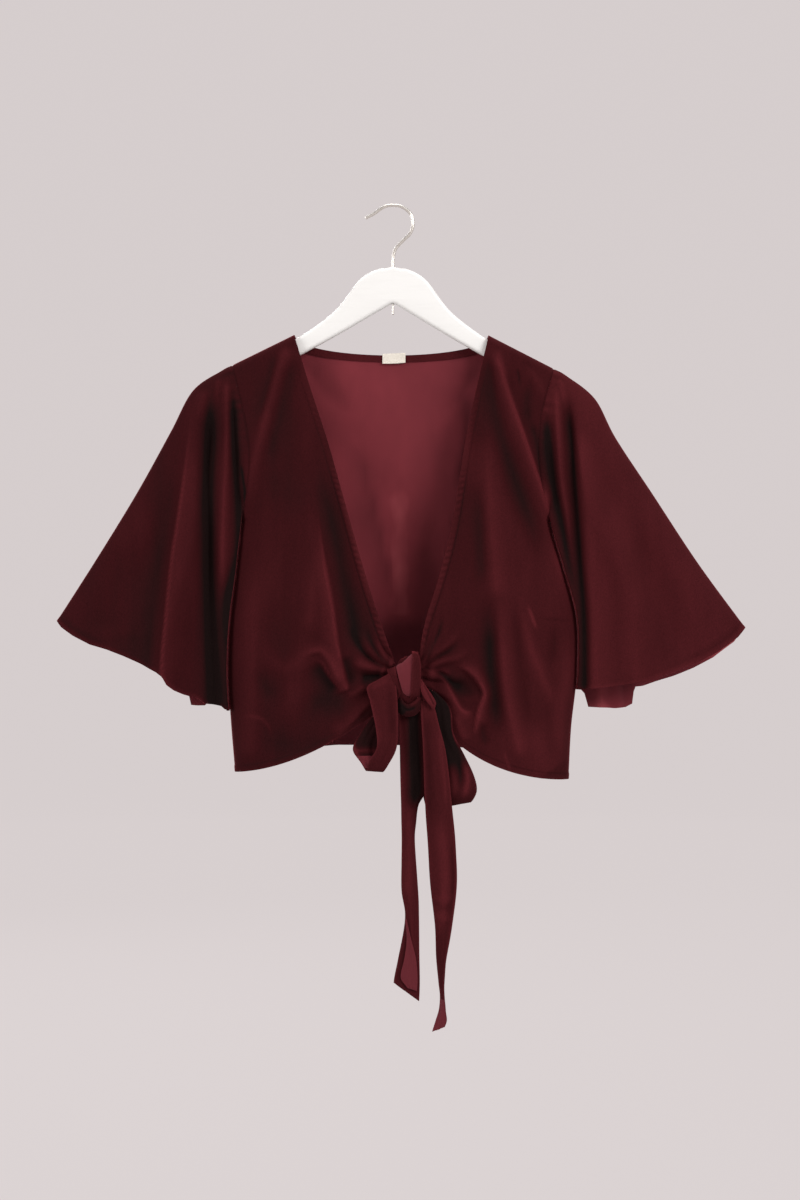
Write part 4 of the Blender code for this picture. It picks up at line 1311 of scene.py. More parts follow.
LEFT_SLEEVE_CREASES = {
    Layer.FRONT: (
        Crease(((-220, -223), (-234, -341), (-241, -391), (-247, -454), (-252, -512), (-249, -545)),
                3, 13, 6.0, 0.15, 0.0, 0.18),
        Crease(((-221, -226), (-235, -341), (-242, -391), (-248, -454), (-253, -512), (-250, -545)),
                1.2, 1.3, 0.4, 0.2, 0.0, 0.50),
        Crease(((-236, -240), (-250, -340), (-262, -420), (-270, -500), (-272, -545)),
                20, 9, -4.0, 0.3, 0.0, -0.22),
        Crease(((-224, -330), (-226, -420), (-228, -500), (-228, -560)), 12, 12, 3.0, 0.3, 0.0, 0.04),
        Crease(((-201, -196), (-203, -250), (-205, -320), (-205, -380), (-203, -440), (-200, -500),
                (-197, -560)), 7, 8, -13.0, 0.22, 0.0, -0.85),
        Crease(((-184, -187), (-183, -266), (-186, -328), (-188, -391), (-188, -440)),
                4, 4, 4.5, 0.06, 0.3, 0.32),
        # painted shade down the sleeve's inner part, with no fold
        Crease(((-182, -400), (-183, -490), (-183, -560)), 8, 13, 0.0, 0.3, 0.0, -0.26),
        Crease(((-177, -200), (-175, -250), (-172, -297), (-170, -344), (-170, -380), (-177, -410),
                (-182, -440), (-184, -517)), 6, 4.5, -5.0, 0.10, 0.2, -0.60),
        Crease(((-167, -284), (-165, -300), (-163, -318), (-163, -336)), 1.8, 1.6, -2.0, 0.3, 0.3, -0.50),
        Crease(((-206, -200), (-212, -222), (-218, -250)), 8, 8, 3.0, 0.3, 0.5, 0.14),
        Crease(((-192, -190), (-194, -205), (-197, -230)), 3, 3, 2.0, 0.2, 0.5, 0.16),
        Crease(((-290, -360), (-306, -420), (-322, -470)), 24, 24, -4.0, 0.4, 0.1, -0.06),
        Crease(((-262, -300), (-280, -380), (-296, -480)), 18, 18, 3.0, 0.4, 0.05, 0.10),
    ),
    Layer.BACK: (
        Crease(((-212, -230), (-240, -360), (-262, -530)), 12, 5, 5.0, 0.3, 0.0, 0.32),
        Crease(((-204, -240), (-222, -380), (-238, -560)), 8, 10, -9.0, 0.3, 0.0, -0.45),
        Crease(((-192, -230), (-200, -380), (-206, -560)), 7, 8, 5.0, 0.3, 0.0, 0.22),
        Crease(((-256, -290), (-292, -400), (-312, -500)), 16, 20, -5.0, 0.4, 0.0, -0.16),
        # painted light on the wrong side where it shows at the hem
        Crease(((-232, -545), (-204, -548)), 8, 8, 0.0, 0.0, 0.0, inside=-0.6),
    ),
}
RIGHT_SLEEVE_CREASES = {
    Layer.FRONT: (
        Crease(((168, -225), (172, -270), (178, -315), (188, -358), (197, -408), (205, -452)),
                6.5, 6.5, -6.0, 0.12, 0.35, -0.60),
        Crease(((179, -197), (184, -291), (191, -341), (198, -391), (207, -450)),
                3.5, 4, 4.5, 0.06, 0.3, 0.32),
        Crease(((192, -202), (198, -264), (204, -330), (208, -393), (212, -460), (212, -560)),
                8, 4.5, -9.0, 0.15, 0.0, -0.62),
        Crease(((204, -240), (207, -300), (213, -400), (218, -470), (219, -560)), 4, 16, 5.0, 0.2, 0.0, 0.30),
        Crease(((184, -190), (188, -210), (192, -235)), 3, 3, 2.0, 0.2, 0.5, 0.18),
        Crease(((262, -330), (282, -400), (300, -480)), 20, 20, -4.0, 0.4, 0.0, -0.06),
        Crease(((240, -300), (252, -400), (262, -500)), 16, 18, 3.0, 0.4, 0.0, 0.10),
        Crease(((300, -360), (322, -420), (340, -470)), 16, 20, 3.0, 0.4, 0.0, 0.08),
        # painted light: the whole right sleeve is lighter, as more light falls on it
        Crease(((230, -220), (290, -400), (320, -520)), 90, 90, 0.0, 0.0, 0.0, 0.30),
    ),
    Layer.BACK: (
        Crease(((204, -240), (238, -360), (262, -530)), 5, 12, 5.0, 0.3, 0.0, 0.32),
        Crease(((196, -240), (218, -380), (236, -560)), 10, 8, -9.0, 0.3, 0.0, -0.45),
        Crease(((188, -230), (202, -380), (212, -560)), 8, 7, 5.0, 0.3, 0.0, 0.22),
        Crease(((252, -290), (290, -400), (316, -500)), 20, 16, -5.0, 0.4, 0.0, -0.16),
        # painted light on the wrong side where it shows at the hem
        Crease(((208, -540), (240, -542), (280, -536), (340, -508), (392, -472)),
                14, 16, 0.0, 0.0, 0.0, inside=-1.3),
        Crease(((208, -560), (244, -562), (280, -556)), 16, 16, 0.0, 0.0, 0.0, inside=-1.0),
    ),
}


@dataclass
class Cloth:
    """The five sewn panels of the top."""

    wardrobe: Wardrobe
    wall: float = 1.6
    hem_wall: float = 2.6
    hem_width: float = 7.0
    seam_gap: float = 0.03
    on_ridge: float = 0.01
    ditch_depth: float = 0.7
    ditch_reach: float = 1.3
    turn_fade: float = 1.2
    groove_depth: float = 0.9
    groove_reach: float = 0.8
    rim_reach: float = 1.6
    rim_highlight: float = 0.25
    groove_shade: float = 0.15
    ditch_shade: float = 0.12
    edge_round: float = 0.5
    beyond: float = 2.0
    flat_corner: float = 0.05
    body: BodyCut = field(default_factory=BodyCut)

    def __post_init__(self) -> None:
        """Lay out the two sleeves."""
        self.sleeve_cuts = {
            Side.LEFT: SleeveCut(
                side=Side.LEFT,
                body=self.body,
                rings=(
                    Ring(-178.0, float(self.body.shoulder_line(-178.0)), -166.5, -350.0, 20.0),
                    Ring(-190.0, -182.5, -172.0, -350.5, 19.0),
                    Ring(-221.5, -204.5, -172.5, -366.0, 20.0),
                    Ring(-246.0, -250.0, -175.5, -402.0, 22.0),
                    Ring(-283.0, -317.0, -181.0, -448.0, 25.0),
                    Ring(-327.0, -389.0, -184.5, -504.0, 27.0),
                    Ring(-372.0, -459.5, -183.0, -559.0, 28.0),
                ),
                drops={
                    Layer.FRONT: (
                        (0.0, 0.0), (0.03, 4.0), (0.10, 6.2), (0.20, 6.0), (0.30, 1.6), (0.40, -1.3),
                        (0.50, -3.0), (0.60, -3.2), (0.63, -2.4), (0.66, 4.6), (0.70, 6.6), (0.75, 6.0),
                        (0.80, 4.2), (0.815, 5.0), (0.825, 8.6), (0.865, 7.2), (0.875, 10.5), (0.90, 9.0),
                        (0.93, 6.0), (0.97, 2.0), (1.0, 0.0),
                    ),
                    Layer.BACK: (
                        (0.0, 0.0), (0.10, 4.0), (0.30, -1.0), (0.50, -5.0), (0.70, 2.0), (0.76, 1.0),
                        (0.772, 17.0), (0.80, 15.0), (0.83, 12.0), (0.842, 3.0), (0.95, 0.0), (1.0, 0.0),
                    ),
                },
                laps={Layer.FRONT: Lap(25.0, 2.0), Layer.BACK: Lap(14.0, 6.0)},
                flutes={
                    Layer.FRONT: (Flute(0.35, 0.25, 0.13, -7.0), Flute(0.50, 0.60, 0.10, 9.0)),
                    Layer.BACK: (
                        Flute(0.30, 0.30, 0.12, -8.0),
                        Flute(0.52, 0.50, 0.12, 10.0),
                        Flute(0.74, 0.72, 0.10, -9.0),
                    ),
                },
                creases=LEFT_SLEEVE_CREASES,
            ),
            Side.RIGHT: SleeveCut(
                side=Side.RIGHT,
                body=self.body,
                rings=(
                    Ring(178.0, float(self.body.shoulder_line(178.0)), 173.0, -350.0, 20.0),
                    Ring(192.0, -188.0, 178.5, -351.0, 19.0),
                    Ring(223.5, -213.5, 181.0, -368.0, 20.0),
                    Ring(246.5, -257.0, 190.5, -400.0, 22.0),
                    Ring(288.0, -320.0, 202.5, -444.0, 25.0),
                    Ring(338.0, -396.0, 206.0, -492.0, 27.0),
                    Ring(390.0, -467.0, 204.0, -535.0, 28.0),
                ),
                drops={
                    Layer.FRONT: (
                        (0.0, 0.0), (0.05, 7.0), (0.174, 14.8), (0.293, 17.7), (0.413, 18.8),
                        (0.591, 18.2), (0.769, 11.0), (0.88, 7.9), (0.95, 2.0), (1.0, 0.0),
                    ),
                    Layer.BACK: (
                        (0.0, 0.0), (0.05, 12.0), (0.174, 21.4), (0.293, 25.0), (0.413, 26.4),
                        (0.591, 25.4), (0.645, 22.5), (0.657, 40.5), (0.70, 41.5), (0.76, 38.5),
                        (0.83, 32.6), (0.845, 31.4), (0.852, 12.0), (0.95, 3.0), (1.0, 0.0),
                    ),
                },
                laps={Layer.FRONT: Lap(19.0, 3.0), Layer.BACK: Lap(27.0, 12.0)},
                flutes={
                    Layer.FRONT: (Flute(0.30, 0.28, 0.13, -6.0), Flute(0.48, 0.50, 0.12, 8.0)),
                    Layer.BACK: (
                        Flute(0.28, 0.26, 0.12, -8.0),
                        Flute(0.50, 0.50, 0.12, 9.0),
                        Flute(0.70, 0.70, 0.09, -8.0),
                    ),
                },
                creases=RIGHT_SLEEVE_CREASES,
            ),
        }

    def make(self) -> list[bpy.types.Object]:
        """Build the panels.

        Returns:
            The pieces, in the order left front, right front, back, left sleeve, right sleeve.
        """
        points = self.panels()
        surface, owner = self.weld(points)
        edges = self.rim_distances(points)
        pieces = [self.cut(surface, owner, tag, name, edges[name]) for tag, name in enumerate(points)]
        surface.free()
        return pieces

    def panels(self) -> dict[str, Array]:
        """The points of every panel's middle surface.

        Returns:
            Rows of columns of points, by the panel's name.
        """
        points = {
            "velvet_front_left": self.body.front(Side.LEFT),
            "velvet_front_right": self.body.front(Side.RIGHT),
            "velvet_back": self.body.back(),
        }
        top = self.body.armhole_rows + 1
        back = points["velvet_back"]
        for side, name in ((Side.LEFT, "left"), (Side.RIGHT, "right")):
            front_armhole = points[f"velvet_front_{name}"][:top, -1]
            back_armhole = back[:top, 0 if side == Side.LEFT else -1]
            points[f"velvet_sleeve_{name}"] = self.sleeve_cuts[side].points(front_armhole, back_armhole)
        return points

    def rim_distances(self, points: dict[str, Array]) -> dict[str, Rims]:
        """How far points are from a hem and from a seam, for those near one.

        Args:
            points: the points of every panel.

        Returns:
            For each panel, the two distances by the point's place.
        """
        result = {}
        for name, grid in points.items():
            steps = run_down(grid)
            to_hem, from_first = steps[-1] - steps, run_across(grid)
            to_last = from_first[:, -1:] - from_first
            if "sleeve" in name:
                to_seam = steps
            else:
                to_seam = to_last if "front" in name else np.minimum(from_first, to_last)
                to_seam[self.body.armhole_rows + 1 :] = math.inf
            close = (to_hem < self.hem_width + self.beyond) | (to_seam < 3 * self.ditch_reach)
            result[name] = {
                tuple(Vector(spot) * MM): (float(hem), float(seam))
                for spot, hem, seam in zip(grid[close][:, :3], to_hem[close], to_seam[close])
            }
        return result

    def weld(self, points: dict[str, Array]) -> tuple[bmesh.types.BMesh, bmesh.types.BMLayerItem]:
        """One open surface of all the panels, welded at the seams and facing out.

        Args:
            points: the points of every panel.

        Returns:
            The surface and the layer that tells the panels apart.
        """
        mesh = bmesh.new()
        owner = mesh.faces.layers.int.new("panel")
        for tag, grid in enumerate(points.values()):
            add_grid(mesh, grid, owner, tag)
        bmesh.ops.remove_doubles(mesh, verts=mesh.verts, dist=WELD)
        bmesh.ops.recalc_face_normals(mesh, faces=mesh.faces)
        mesh.normal_update()
        if sum(face.normal.y for face in mesh.faces if face[owner] == 0) > 0:
            bmesh.ops.reverse_faces(mesh, faces=mesh.faces)
            mesh.normal_update()
        return mesh, owner

    def set_back(self, vert: bmesh.types.BMVert, owner: bmesh.types.BMLayerItem, tag: int) -> Vector:
        """The small move that takes a panel's point away from the seams it lies on.

        Returns:
            The move, in metres.
        """
        ways, amounts = [vert.normal], [0.0]
        for edge in vert.link_edges:
            own = [face for face in edge.link_faces if face[owner] == tag]
            if len(own) != 1:
                continue
            along = (edge.verts[1].co - edge.verts[0].co).normalized()
            inward = along.cross(vert.normal).normalized()
            if inward.dot(own[0].calc_center_median() - vert.co) < 0:
                inward = -inward
            ways.append(inward)
            amounts.append(self.seam_gap * MM if len(edge.link_faces) > 1 else 0.0)
        move = Vector(np.linalg.pinv(np.array(ways), rcond=self.flat_corner) @ np.array(amounts))
        limit = 2 * self.seam_gap * MM
        return move * (limit / move.length) if move.length > limit else move

    def cut(
        self,
        surface: bmesh.types.BMesh,
        owner: bmesh.types.BMLayerItem,
        tag: int,
        name: str,
        near: Rims,
    ) -> bpy.types.Object:
        """Cut one panel out of the surface and give it its wall, thicker where the hem is turned.

        Args:
            surface: the welded surface.
            owner: the layer that tells the panels apart.
            tag: the panel's tag.
            name: the piece's name.
            near: how far points are from a hem and from a seam.

        Returns:
            The piece.
        """
        leans, moves, walls, painted_edge_light = {}, {}, {}, {}
        surface.verts.index_update()
        for vert in surface.verts:
            tags = {face[owner] for face in vert.link_faces}
            if tag not in tags:
                continue
            leans[vert.index] = vert.normal.copy()
            if len(tags) > 1:
                moves[vert.index] = self.set_back(vert, owner, tag)
            elif vert.is_boundary and "sleeve" not in name and abs(vert.co.y) < self.on_ridge * MM:
                leans[vert.index] = Vector((vert.normal.x, 0.0, vert.normal.z)).normalized()
                layer = Layer.BACK if name == "velvet_back" else Layer.FRONT
                moves[vert.index] = Vector((0.0, layer.value * self.seam_gap * MM, 0.0))
            to_hem, to_seam = near.get(tuple(vert.co), (None, None))
            if to_hem is not None:
                turned = float(1 - ease((to_hem - self.hem_width) / self.turn_fade))
                groove = self.groove_depth * float(bell(to_hem - self.hem_width, self.groove_reach))
                ditch = self.ditch_depth * float(bell(to_seam, self.ditch_reach))
                walls[vert.index] = self.wall + (self.hem_wall - self.wall) * turned - groove
                moves[vert.index] = moves.get(vert.index, Vector()) - vert.normal * ditch * MM
                # painted highlight along the hem's rim, and painted shade in the hem's groove and in the
                # seam's ditch
                rim = self.rim_highlight * float(bell(to_hem, self.rim_reach))
                painted_edge_light[vert.index] = rim - self.groove_shade * groove - self.ditch_shade * ditch
        panel = surface.copy()
        layer = panel.faces.layers.int["panel"]
        nap_and_shade = panel.verts.layers.float[NAP_AND_SHADE]
        panel.verts.ensure_lookup_table()
        panel_leans, panel_walls = {}, {}
        for index, lean in leans.items():
            vert = panel.verts[index]
            vert.co += moves.get(index, Vector())
            vert[nap_and_shade] += painted_edge_light.get(index, 0.0)
            panel_leans[vert] = lean
            panel_walls[vert] = walls.get(index, self.wall)
        strange = [face for face in panel.faces if face[layer] != tag]
        bmesh.ops.delete(panel, geom=strange, context="FACES")
        give_wall(panel, panel_leans, panel_walls, self.edge_round)
        materials = (self.wardrobe.velvet, self.wardrobe.wrong_side)
        return put_piece(name, panel, materials, name.removeprefix("velvet_"))


# --------------------------------------------------------------------------------------------------
# Neck band and label


@dataclass
class NeckTrim:
    """The velvet band inside the back neck, and the blank label sewn over its middle."""

    wardrobe: Wardrobe
    body: BodyCut
    stand: float = 2.0
    wall: float = 1.0
    height: float = 8.8
    tone: float = 0.22
    label_width: float = 25.6
    label_height: float = 11.0
    label_x: float = 1.0
    label_z: float = -161.4
    label_tilt: float = 0.045
    label_wall: float = 0.5
    label_gap: float = 0.35
    label_columns: int = 25
    label_rows: int = 13
    label_sag: float = 0.5
    label_bow: float = 0.7
    label_bow_power: float = 1.5
    fold_wall: float = 0.45
    fold_length: float = 3.2
    band_drop: float = 0.35
    band_round: float = 0.3
    label_round: float = 0.12

    def make(self, back: Array) -> list[bpy.types.Object]:
        """Build the band and the label.

        Args:
            back: the points of the back.

        Returns:
            The two pieces.
        """
        neck = self.neck_rows(back)
        band = self.make_band(neck)
        label = self.make_label(neck)
        return [band, label]

    def neck_rows(self, back: Array) -> Array:
        """The upper rows of the back's middle, down to the band's lower edge.

        Returns:
            The points, as rows of columns.
        """
        wing = len(self.body.edge_columns) + self.body.back_columns
        middle = back[:, wing + 1 : wing + self.body.neck_columns - 2]
        fall = np.linalg.norm((middle - middle[:1])[..., :3], axis=-1).mean(axis=1)
        return middle[: int(np.searchsorted(fall, self.height)) + 1]

    def make_band(self, rows: Array) -> bpy.types.Object:
        """The band, moved in from the back."""
        mesh = lone_grid(rows + np.array((0.0, -self.stand, self.band_drop, self.tone, 0.0)))
        even_wall(mesh, self.wall, self.band_round)
        for face in mesh.faces:
            face.material_index = 0
        return put_piece("velvet_neck_band", mesh, (self.wardrobe.velvet,), "neck_band")

    def make_label(self, rows: Array) -> bpy.types.Object:
        """The label, a little bowed, with its ends folded under.

        Returns:
            The piece.
        """
        inner_face = rows[0, rows.shape[1] // 2, 1] - self.stand - self.wall / 2
        y = inner_face - self.label_wall - self.label_gap
        across, down = np.linspace(-1.0, 1.0, self.label_columns), np.linspace(0.0, 1.0, self.label_rows)
        shares, downs = np.meshgrid(across, down)
        x = self.label_x + self.label_width / 2 * shares
        arch = 1 - shares**2
        z = self.label_z - (self.label_height + self.label_sag * arch) * downs
        z += self.label_tilt * (x - self.label_x)
        y = y - self.label_bow * arch * downs**self.label_bow_power
        mesh = lone_grid(np.stack([x, y, z], axis=-1))
        leans, walls = {}, {}
        for vert in mesh.verts:
            from_end = self.label_width / 2 - abs(vert.co.x / MM - self.label_x)
            leans[vert] = vert.normal.copy()
            walls[vert] = self.label_wall + (self.fold_wall if from_end < self.fold_length else 0.0)
        give_wall(mesh, leans, walls, self.label_round)
        for face in mesh.faces:
            face.material_index = 0
        return put_piece("neck_label", mesh, (self.wardrobe.tape,), "label")


# --------------------------------------------------------------------------------------------------
# The bow


class Section(NamedTuple):
    """One section of a tie: its centre and width, its heading from above, its slope from the front."""

    x: float
    y: float
    z: float
    width: float
    heading: float
    slope: float


class Span(NamedTuple):
    """One section of a wrap, from its first edge to its second."""

    x: float
    y: float
    z: float
    to_x: float
    to_y: float
    to_z: float

    def section(self) -> Section:
        """The same section by its centre."""
        run_x, run_y, run_z = self.to_x - self.x, self.to_y - self.y, self.to_z - self.z
        width = math.hypot(run_x, run_y, run_z)
        heading = math.degrees(math.atan2(run_y, run_x))
        slope = math.degrees(math.asin(run_z / width))
        return Section(self.x + run_x / 2, self.y + run_y / 2, self.z + run_z / 2, width, heading, slope)


@dataclass
class Ribbon:
    """A flat tie of velvet swept through its sections, which may turn back behind itself."""

    name: str
    sections: Sequence[Section]
    wardrobe: Wardrobe
    wall: float = 2.0
    crown: float = 1.2
    crown_ends: int = 4
    ripple: float = 0.5
    ripple_broad: tuple[float, float] = (5.2, 31.0)
    ripple_change: tuple[float, float] = (17.0, 1.3)
    ripple_fine: tuple[float, float, float] = (0.6, 9.1, 23.0)
    rounding: tuple[float, float] = (0.55, 0.3)
    tone: float = 0.10
    # painted highlight along both edges of the tie
    rim_highlight: float = 0.30
    rim: float = 1.4
    across: int = 26
    steps: int = 12
    turns_at: float = PAST_END
    near: tuple[Crease, ...] = ()
    far: tuple[Crease, ...] = ()
    wrong_outside: tuple[float, float] = NONE
    wrong_inside: tuple[float, float] = (0.0, PAST_END)
    flaps: tuple["Ribbon", ...] = ()

    def surface(self) -> Array:
        """The middle surface.

        Returns:
            The points, as rows of columns.
        """
        places = np.linspace(0, len(self.sections) - 1, (len(self.sections) - 1) * self.steps + 1)
        table = smooth_rows(self.sections, places)
        heading, slope = np.radians(table[:, 4]), np.radians(table[:, 5])
        level = np.cos(slope)
        wide = np.stack([np.cos(heading) * level, np.sin(heading) * level, np.sin(slope)], axis=-1)
        shares = np.linspace(-1.0, 1.0, self.across + 1)[None, :]
        width = table[:, 3, None]
        points = table[:, None, :3] + wide[:, None, :] * (width / 2 * shares)[..., None]
        along = run_down(table[:, None, :3])
        turn, length = self.ripple_broad
        slower, start = self.ripple_change
        height, fine_turn, fine_length = self.ripple_fine
        waves = np.sin(turn * shares + along / length) * np.cos(along / slower + start)
        waves += height * np.sin(fine_turn * shares - along / fine_length)
        near = ease(self.turns_at - places + 0.5)[:, None]
        near_lift, near_nap_and_shade, _ = relief(self.near, points[..., 0], points[..., 2])
        far_lift, far_nap_and_shade, _ = relief(self.far, points[..., 0], points[..., 2])
        lift = self.crown * (1 - shares**2) + self.ripple * waves * (1 - shares**self.crown_ends)
        lift = lift + near * near_lift + (1 - near) * far_lift
        # painted highlight along both rims, and the creases' painted light and shade
        nap_and_shade = self.tone + self.rim_highlight * bell(width / 2 * (1 - np.abs(shares)), self.rim)
        nap_and_shade = nap_and_shade + near * near_nap_and_shade + (1 - near) * far_nap_and_shade
        points[..., 1] -= lift
        row = np.repeat(places[:, None], points.shape[1], axis=1)
        return np.concatenate([points, nap_and_shade[..., None], nap_and_shade[..., None], row[..., None]], axis=-1)

    def mesh(self) -> bmesh.types.BMesh:
        """The tie with its wall and its turned edges.

        Returns:
            The mesh.
        """
        points = self.surface()
        mesh = lone_grid(points)
        first = [face for face in mesh.faces if face.calc_center_median().z > points[self.steps, 0, 2] * MM]
        if sum(face.normal.y for face in first or mesh.faces) > 0:
            bmesh.ops.reverse_faces(mesh, faces=mesh.faces)
            mesh.normal_update()
        largest, share = self.rounding
        even_wall(mesh, self.wall, min(largest, self.wall * share))
        along = mesh.verts.layers.float[ALONG]
        for face in mesh.faces:
            place = sum(vert[along] for vert in face.verts) / len(face.verts)
            start, end = self.wrong_inside if face.material_index else self.wrong_outside
            face.material_index = int(start < place < end)
        for flap in self.flaps:
            join(mesh, flap.mesh())
        return mesh

    def make(self, replaces: str) -> bpy.types.Object:
        """Build the tie.

        Args:
            replaces: the solid that it stands for.

        Returns:
            The piece.
        """
        piece = put_piece(
            self.name, self.mesh(), (self.wardrobe.velvet, self.wardrobe.wrong_side), replaces
        )
        table = np.array(self.sections)
        steps = np.linalg.norm(np.diff(table[:, :3], axis=0), axis=-1)
        length = float(steps.sum())
        width = float(((table[1:, 3] + table[:-1, 3]) / 2 * steps).sum() / length)
        return piece


def join(mesh: bmesh.types.BMesh, other: bmesh.types.BMesh) -> None:
    """Add another mesh to a mesh, and use the other one up."""
    data = bpy.data.meshes.new("joined")
    other.to_mesh(data)
    other.free()
    mesh.from_mesh(data)
    bpy.data.meshes.remove(data)


TAIL_LEFT = (
    Section(18.2, -56.0, -557.4, 22.5, 0, 0),
    Section(20.4, -55.0, -600.0, 25.5, 4, 0),
    Section(21.2, -54.0, -634.0, 26.0, 6, 0),
    Section(21.2, -53.5, -648.0, 25.5, 8, 0),
    Section(18.3, -53.0, -660.0, 19.5, 16, 0),
    Section(17.2, -52.5, -678.0, 17.0, 20, 0),
    Section(16.6, -52.0, -700.0, 15.2, 24, 0),
    Section(18.3, -51.0, -749.0, 18.2, 12, 0),
    Section(21.1, -50.0, -782.0, 15.4, -14, 0),
    Section(17.4, -50.0, -830.0, 24.0, -6, -12),
    Section(14.6, -50.0, -863.4, 34.2, 0, -36),
)
TAIL_RIGHT = (
    Section(36.9, -60.5, -546.0, 13.0, 10, 0),
    Section(40.5, -63.0, -572.0, 18.5, 10, 0),
    Section(45.5, -63.0, -605.0, 25.0, 6, 0),
    Section(49.5, -62.0, -659.0, 29.0, 4, 0),
    Section(53.0, -60.0, -700.0, 30.0, -4, 0),
    Section(55.2, -58.0, -744.0, 29.0, -10, 0),
    Section(55.2, -57.0, -790.0, 20.5, -30, 0),
    Section(53.0, -56.0, -826.0, 14.0, -42, 0),
    Section(53.2, -56.0, -852.0, 10.0, -56, 0),
    Section(54.0, -56.0, -868.0, 8.0, -62, 0),
    Section(54.2, -56.0, -882.0, 8.0, -34, 0),
    Section(52.6, -56.0, -894.0, 12.5, -12, 12),
    Section(49.6, -56.0, -903.0, 14.0, 0, 22),
)
LOOP_LEFT = (
    Section(-1.2, -59.5, -516.5, 6.0, 0, 8),
    Section(-6.3, -61.5, -522.5, 19.0, 0, 4),
    Section(-12.2, -63.5, -531.0, 31.6, 0, 0),
    Section(-9.8, -66.0, -546.5, 29.5, 0, 0),
    Section(-6.5, -68.5, -574.0, 24.0, 0, 0),
    Section(-6.8, -68.5, -596.0, 21.0, 0, -4),
    Section(-15.0, -67.0, -612.0, 22.0, 0, -4),
    Section(-20.0, -62.0, -621.5, 18.0, 0, -4),
    Section(-25.0, -56.5, -613.0, 20.0, 0, -2),
    Section(-29.5, -54.5, -597.0, 28.0, 0, 6),
    Section(-23.0, -55.5, -578.0, 27.0, -4, 18),
    Section(-13.0, -57.0, -560.0, 22.0, 0, 20),
)
LOOP_RIGHT = (
    Section(43.0, -53.5, -535.0, 8.0, 0, -34),
    Section(50.0, -54.0, -545.5, 20.0, 0, -26),
    Section(52.0, -54.0, -558.0, 24.5, 0, -14),
    Section(53.0, -54.0, -580.0, 26.0, 0, -6),
    Section(62.0, -55.0, -606.0, 33.0, 0, -2),
    Section(69.5, -56.0, -632.0, 39.0, 0, 8),
    Section(70.0, -54.5, -648.0, 43.0, 0, 10),
    Section(62.0, -49.0, -660.0, 46.0, 0, 10),
    Section(57.0, -44.0, -652.0, 46.0, 0, 10),
    Section(49.0, -41.5, -622.0, 38.0, 0, 4),
    Section(45.0, -41.0, -585.0, 24.0, 0, 0),
)


FACET = (
    Span(5.4, -52.0, -507.5, 20.9, -52.0, -495.4),
    Span(3.9, -60.5, -509.3, 21.6, -63.0, -496.5),
    Span(5.2, -64.5, -516.0, 21.6, -67.0, -506.0),
    Span(7.4, -66.0, -524.5, 20.8, -68.0, -517.0),
    Span(9.8, -66.0, -532.5, 20.3, -68.0, -528.0),
    Span(12.3, -64.5, -538.5, 19.9, -66.5, -537.0),
    Span(14.5, -60.0, -543.5, 18.6, -61.0, -543.5),
)
BAND = (
    Span(20.5, -50.0, -492.5, 27.5, -50.0, -493.5),
    Span(21.0, -62.0, -494.8, 27.6, -60.0, -496.2),
    Span(21.6, -68.0, -500.0, 29.2, -64.0, -501.5),
    Span(21.2, -69.5, -512.0, 29.9, -65.0, -512.5),
    Span(20.4, -69.5, -526.0, 29.9, -65.0, -526.0),
    Span(19.8, -68.0, -537.0, 29.6, -64.0, -537.5),
    Span(18.0, -62.0, -545.0, 28.5, -59.0, -546.0),
)
LOWER_WRAP = (
    Span(2.5, -50.0, -547.0, 4.5, -50.0, -531.0),
    Span(3.6, -57.0, -553.5, 6.6, -58.0, -537.0),
    Span(8.5, -62.0, -560.0, 10.5, -65.0, -544.5),
    Span(16.5, -64.5, -562.5, 16.0, -68.5, -549.3),
    Span(24.5, -64.0, -560.5, 22.0, -68.5, -546.8),
    Span(29.8, -61.0, -554.0, 27.0, -66.5, -541.5),
    Span(32.5, -55.0, -547.0, 30.5, -59.0, -536.0),
)
TWIST = (
    Span(29.0, -60.0, -523.0, 30.8, -60.0, -522.5),
    Span(29.8, -65.0, -528.5, 34.0, -64.0, -527.5),
    Span(31.2, -67.0, -536.0, 38.6, -65.5, -534.0),
    Span(34.8, -67.5, -543.0, 43.0, -66.0, -540.5),
    Span(39.2, -67.5, -549.0, 46.4, -66.5, -547.0),
    Span(43.0, -66.5, -553.5, 45.6, -66.0, -552.5),
)
ROLL = (
    Span(-6.0, -56.0, -512.0, 2.8, -59.0, -508.5),
    Span(-4.6, -60.0, -517.0, 3.6, -62.5, -514.5),
    Span(-1.6, -62.0, -524.0, 5.6, -63.0, -521.0),
    Span(1.0, -62.5, -532.0, 8.6, -63.5, -530.0),
    Span(3.4, -61.5, -540.0, 9.4, -62.5, -537.5),
    Span(5.2, -58.0, -546.0, 7.6, -58.5, -545.0),
)
TAIL_CORNER = (
    Span(13.6, -53.2, -784.0, 14.6, -53.2, -784.0),
    Span(15.0, -53.6, -806.0, 19.8, -53.4, -806.0),
    Span(12.4, -53.6, -827.0, 25.2, -53.2, -827.0),
    Span(8.6, -53.6, -847.0, 26.9, -53.2, -849.0),
    Span(15.8, -53.4, -858.6, 26.2, -53.0, -862.0),
)
